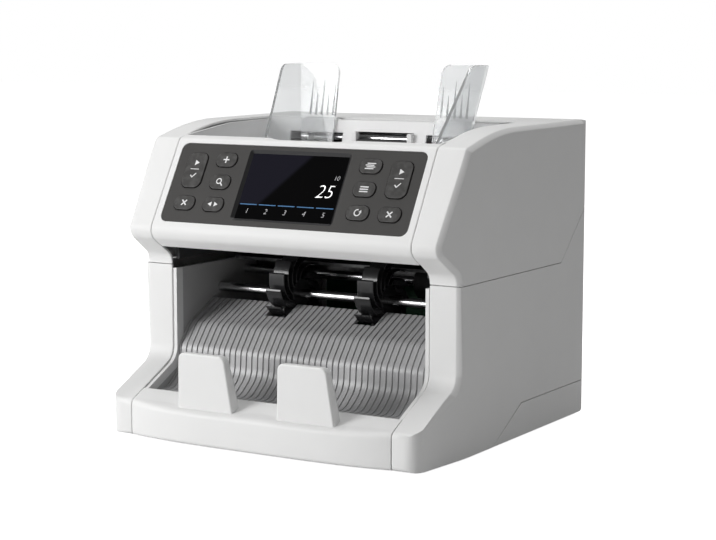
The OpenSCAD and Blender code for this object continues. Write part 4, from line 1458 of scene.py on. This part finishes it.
@dataclass
class Studio:
    """A pale floor, soft lights, and a camera at the photograph's angle.

    The camera stands this many millimetres to its own right, upwards and backwards.
    """

    paints: Paintbox
    azimuth: float = 31.30
    elevation: float = 7.39
    stand: Triple = (63.404, 113.193, 1152.557)
    lens: float = 93.30
    sensor: float = 36.0
    nearest: float = 0.05
    fill: float = 0.205
    lights: tuple[Softbox, ...] = (
        Softbox("key", (-0.95, -1.25, 0.45), (0.0, -0.05, 0.12), 0.8, 17.7),
        Softbox("top", (-0.05, 0.15, 1.55), (0.0, 0.05, 0.0), 1.4, 13.0),
    )
    floor_reach: float = 6.0
    floor_lift: float = 0.95

    def _camera(self) -> None:
        """Places the camera by its viewing direction and its distances."""
        turn, rise = math.radians(self.azimuth), math.radians(self.elevation)
        right = Vector((math.cos(turn), math.sin(turn), 0.0))
        back = Vector((math.sin(turn) * math.cos(rise), -math.cos(turn) * math.cos(rise),
                       math.sin(rise)))
        up = back.cross(right)
        pose = Matrix((right, up, back)).transposed().to_4x4()
        across, above, behind = self.stand
        pose.translation = spot(*(right * across + up * above + back * behind))
        camera = bpy.data.objects.new("camera", bpy.data.cameras.new("camera"))
        bpy.context.scene.collection.objects.link(camera)
        camera.data.lens = self.lens
        camera.data.sensor_fit = "HORIZONTAL"
        camera.data.sensor_width = self.sensor
        camera.data.clip_start = self.nearest
        camera.data.dof.use_dof = False
        camera.matrix_world = pose
        bpy.context.scene.camera = camera

    @staticmethod
    def _seen(tree: Tree) -> Socket:
        """A value of 1 where the eye looks, straight or through clear plastic, and 0 for light."""
        path = add_node(tree, "LightPath").outputs
        return calc(tree, "MAXIMUM", path["Is Camera Ray"], path["Is Transmission Ray"])

    def _floor(self) -> None:
        """A wide pale floor that the camera sees brighter than it lights the object."""
        floor = fresh(bpy.ops.mesh.primitive_plane_add, size=2.0 * self.floor_reach)
        floor.name = "floor"
        paint = self.paints.material("stage_white")
        tree = paint.node_tree
        lift = calc(tree, "MULTIPLY", self._seen(tree), self.floor_lift)
        feed(tree.nodes["Principled BSDF"], {"Emission Color": WHITE, "Emission Strength": lift})
        floor.data.materials.append(paint)

    def _light(self, box: Softbox) -> None:
        """Hangs one softbox.

        Args:
            box: the light.
        """
        data = bpy.data.lights.new(box.name, "AREA")
        data.shape = "DISK"
        data.size = box.size
        data.energy = box.power
        lamp = bpy.data.objects.new(box.name, data)
        bpy.context.scene.collection.objects.link(lamp)
        lamp.location = box.at
        lamp.rotation_euler = (Vector(box.aim) - Vector(box.at)).to_track_quat("-Z", "Y").to_euler()

    def _world(self) -> None:
        """An even fill, and plain white where the camera looks past the floor."""
        world = bpy.data.worlds.new("studio")
        bpy.context.scene.world = world
        world.use_nodes = True
        tree = world.node_tree
        fill = tree.nodes["Background"]
        feed(fill, {"Color": WHITE, "Strength": self.fill})
        plain = add_node(tree, "Background", {"Color": WHITE, "Strength": 1.0})
        mix = add_node(tree, "MixShader", {"Fac": self._seen(tree), 1: fill.outputs["Background"],
                                           2: plain.outputs["Background"]})
        feed(tree.nodes["World Output"], {"Surface": mix.outputs["Shader"]})

    def build(self) -> None:
        """Sets up the camera, the floor, the lights and the world."""
        self._camera()
        self._floor()
        for box in self.lights:
            self._light(box)
        self._world()
        bpy.context.scene.view_settings.view_transform = "Standard"
        bpy.context.scene.view_settings.look = "None"


def main() -> None:
    """Loads the frame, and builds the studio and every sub-assembly."""
    logging.basicConfig(level=logging.INFO, format="%(name)s: %(message)s")
    Frame.take(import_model())
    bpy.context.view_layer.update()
    paints = Paintbox()
    Studio(paints).build()
    for part in (Housings, FrontBezel, StackerPocket, ControlPanel, Hopper, Transport, RearSockets,
                 Underside):
        LOG.info("building %s", part.__name__)
        part(paints).build()


if __name__ == "__main__":
    main()
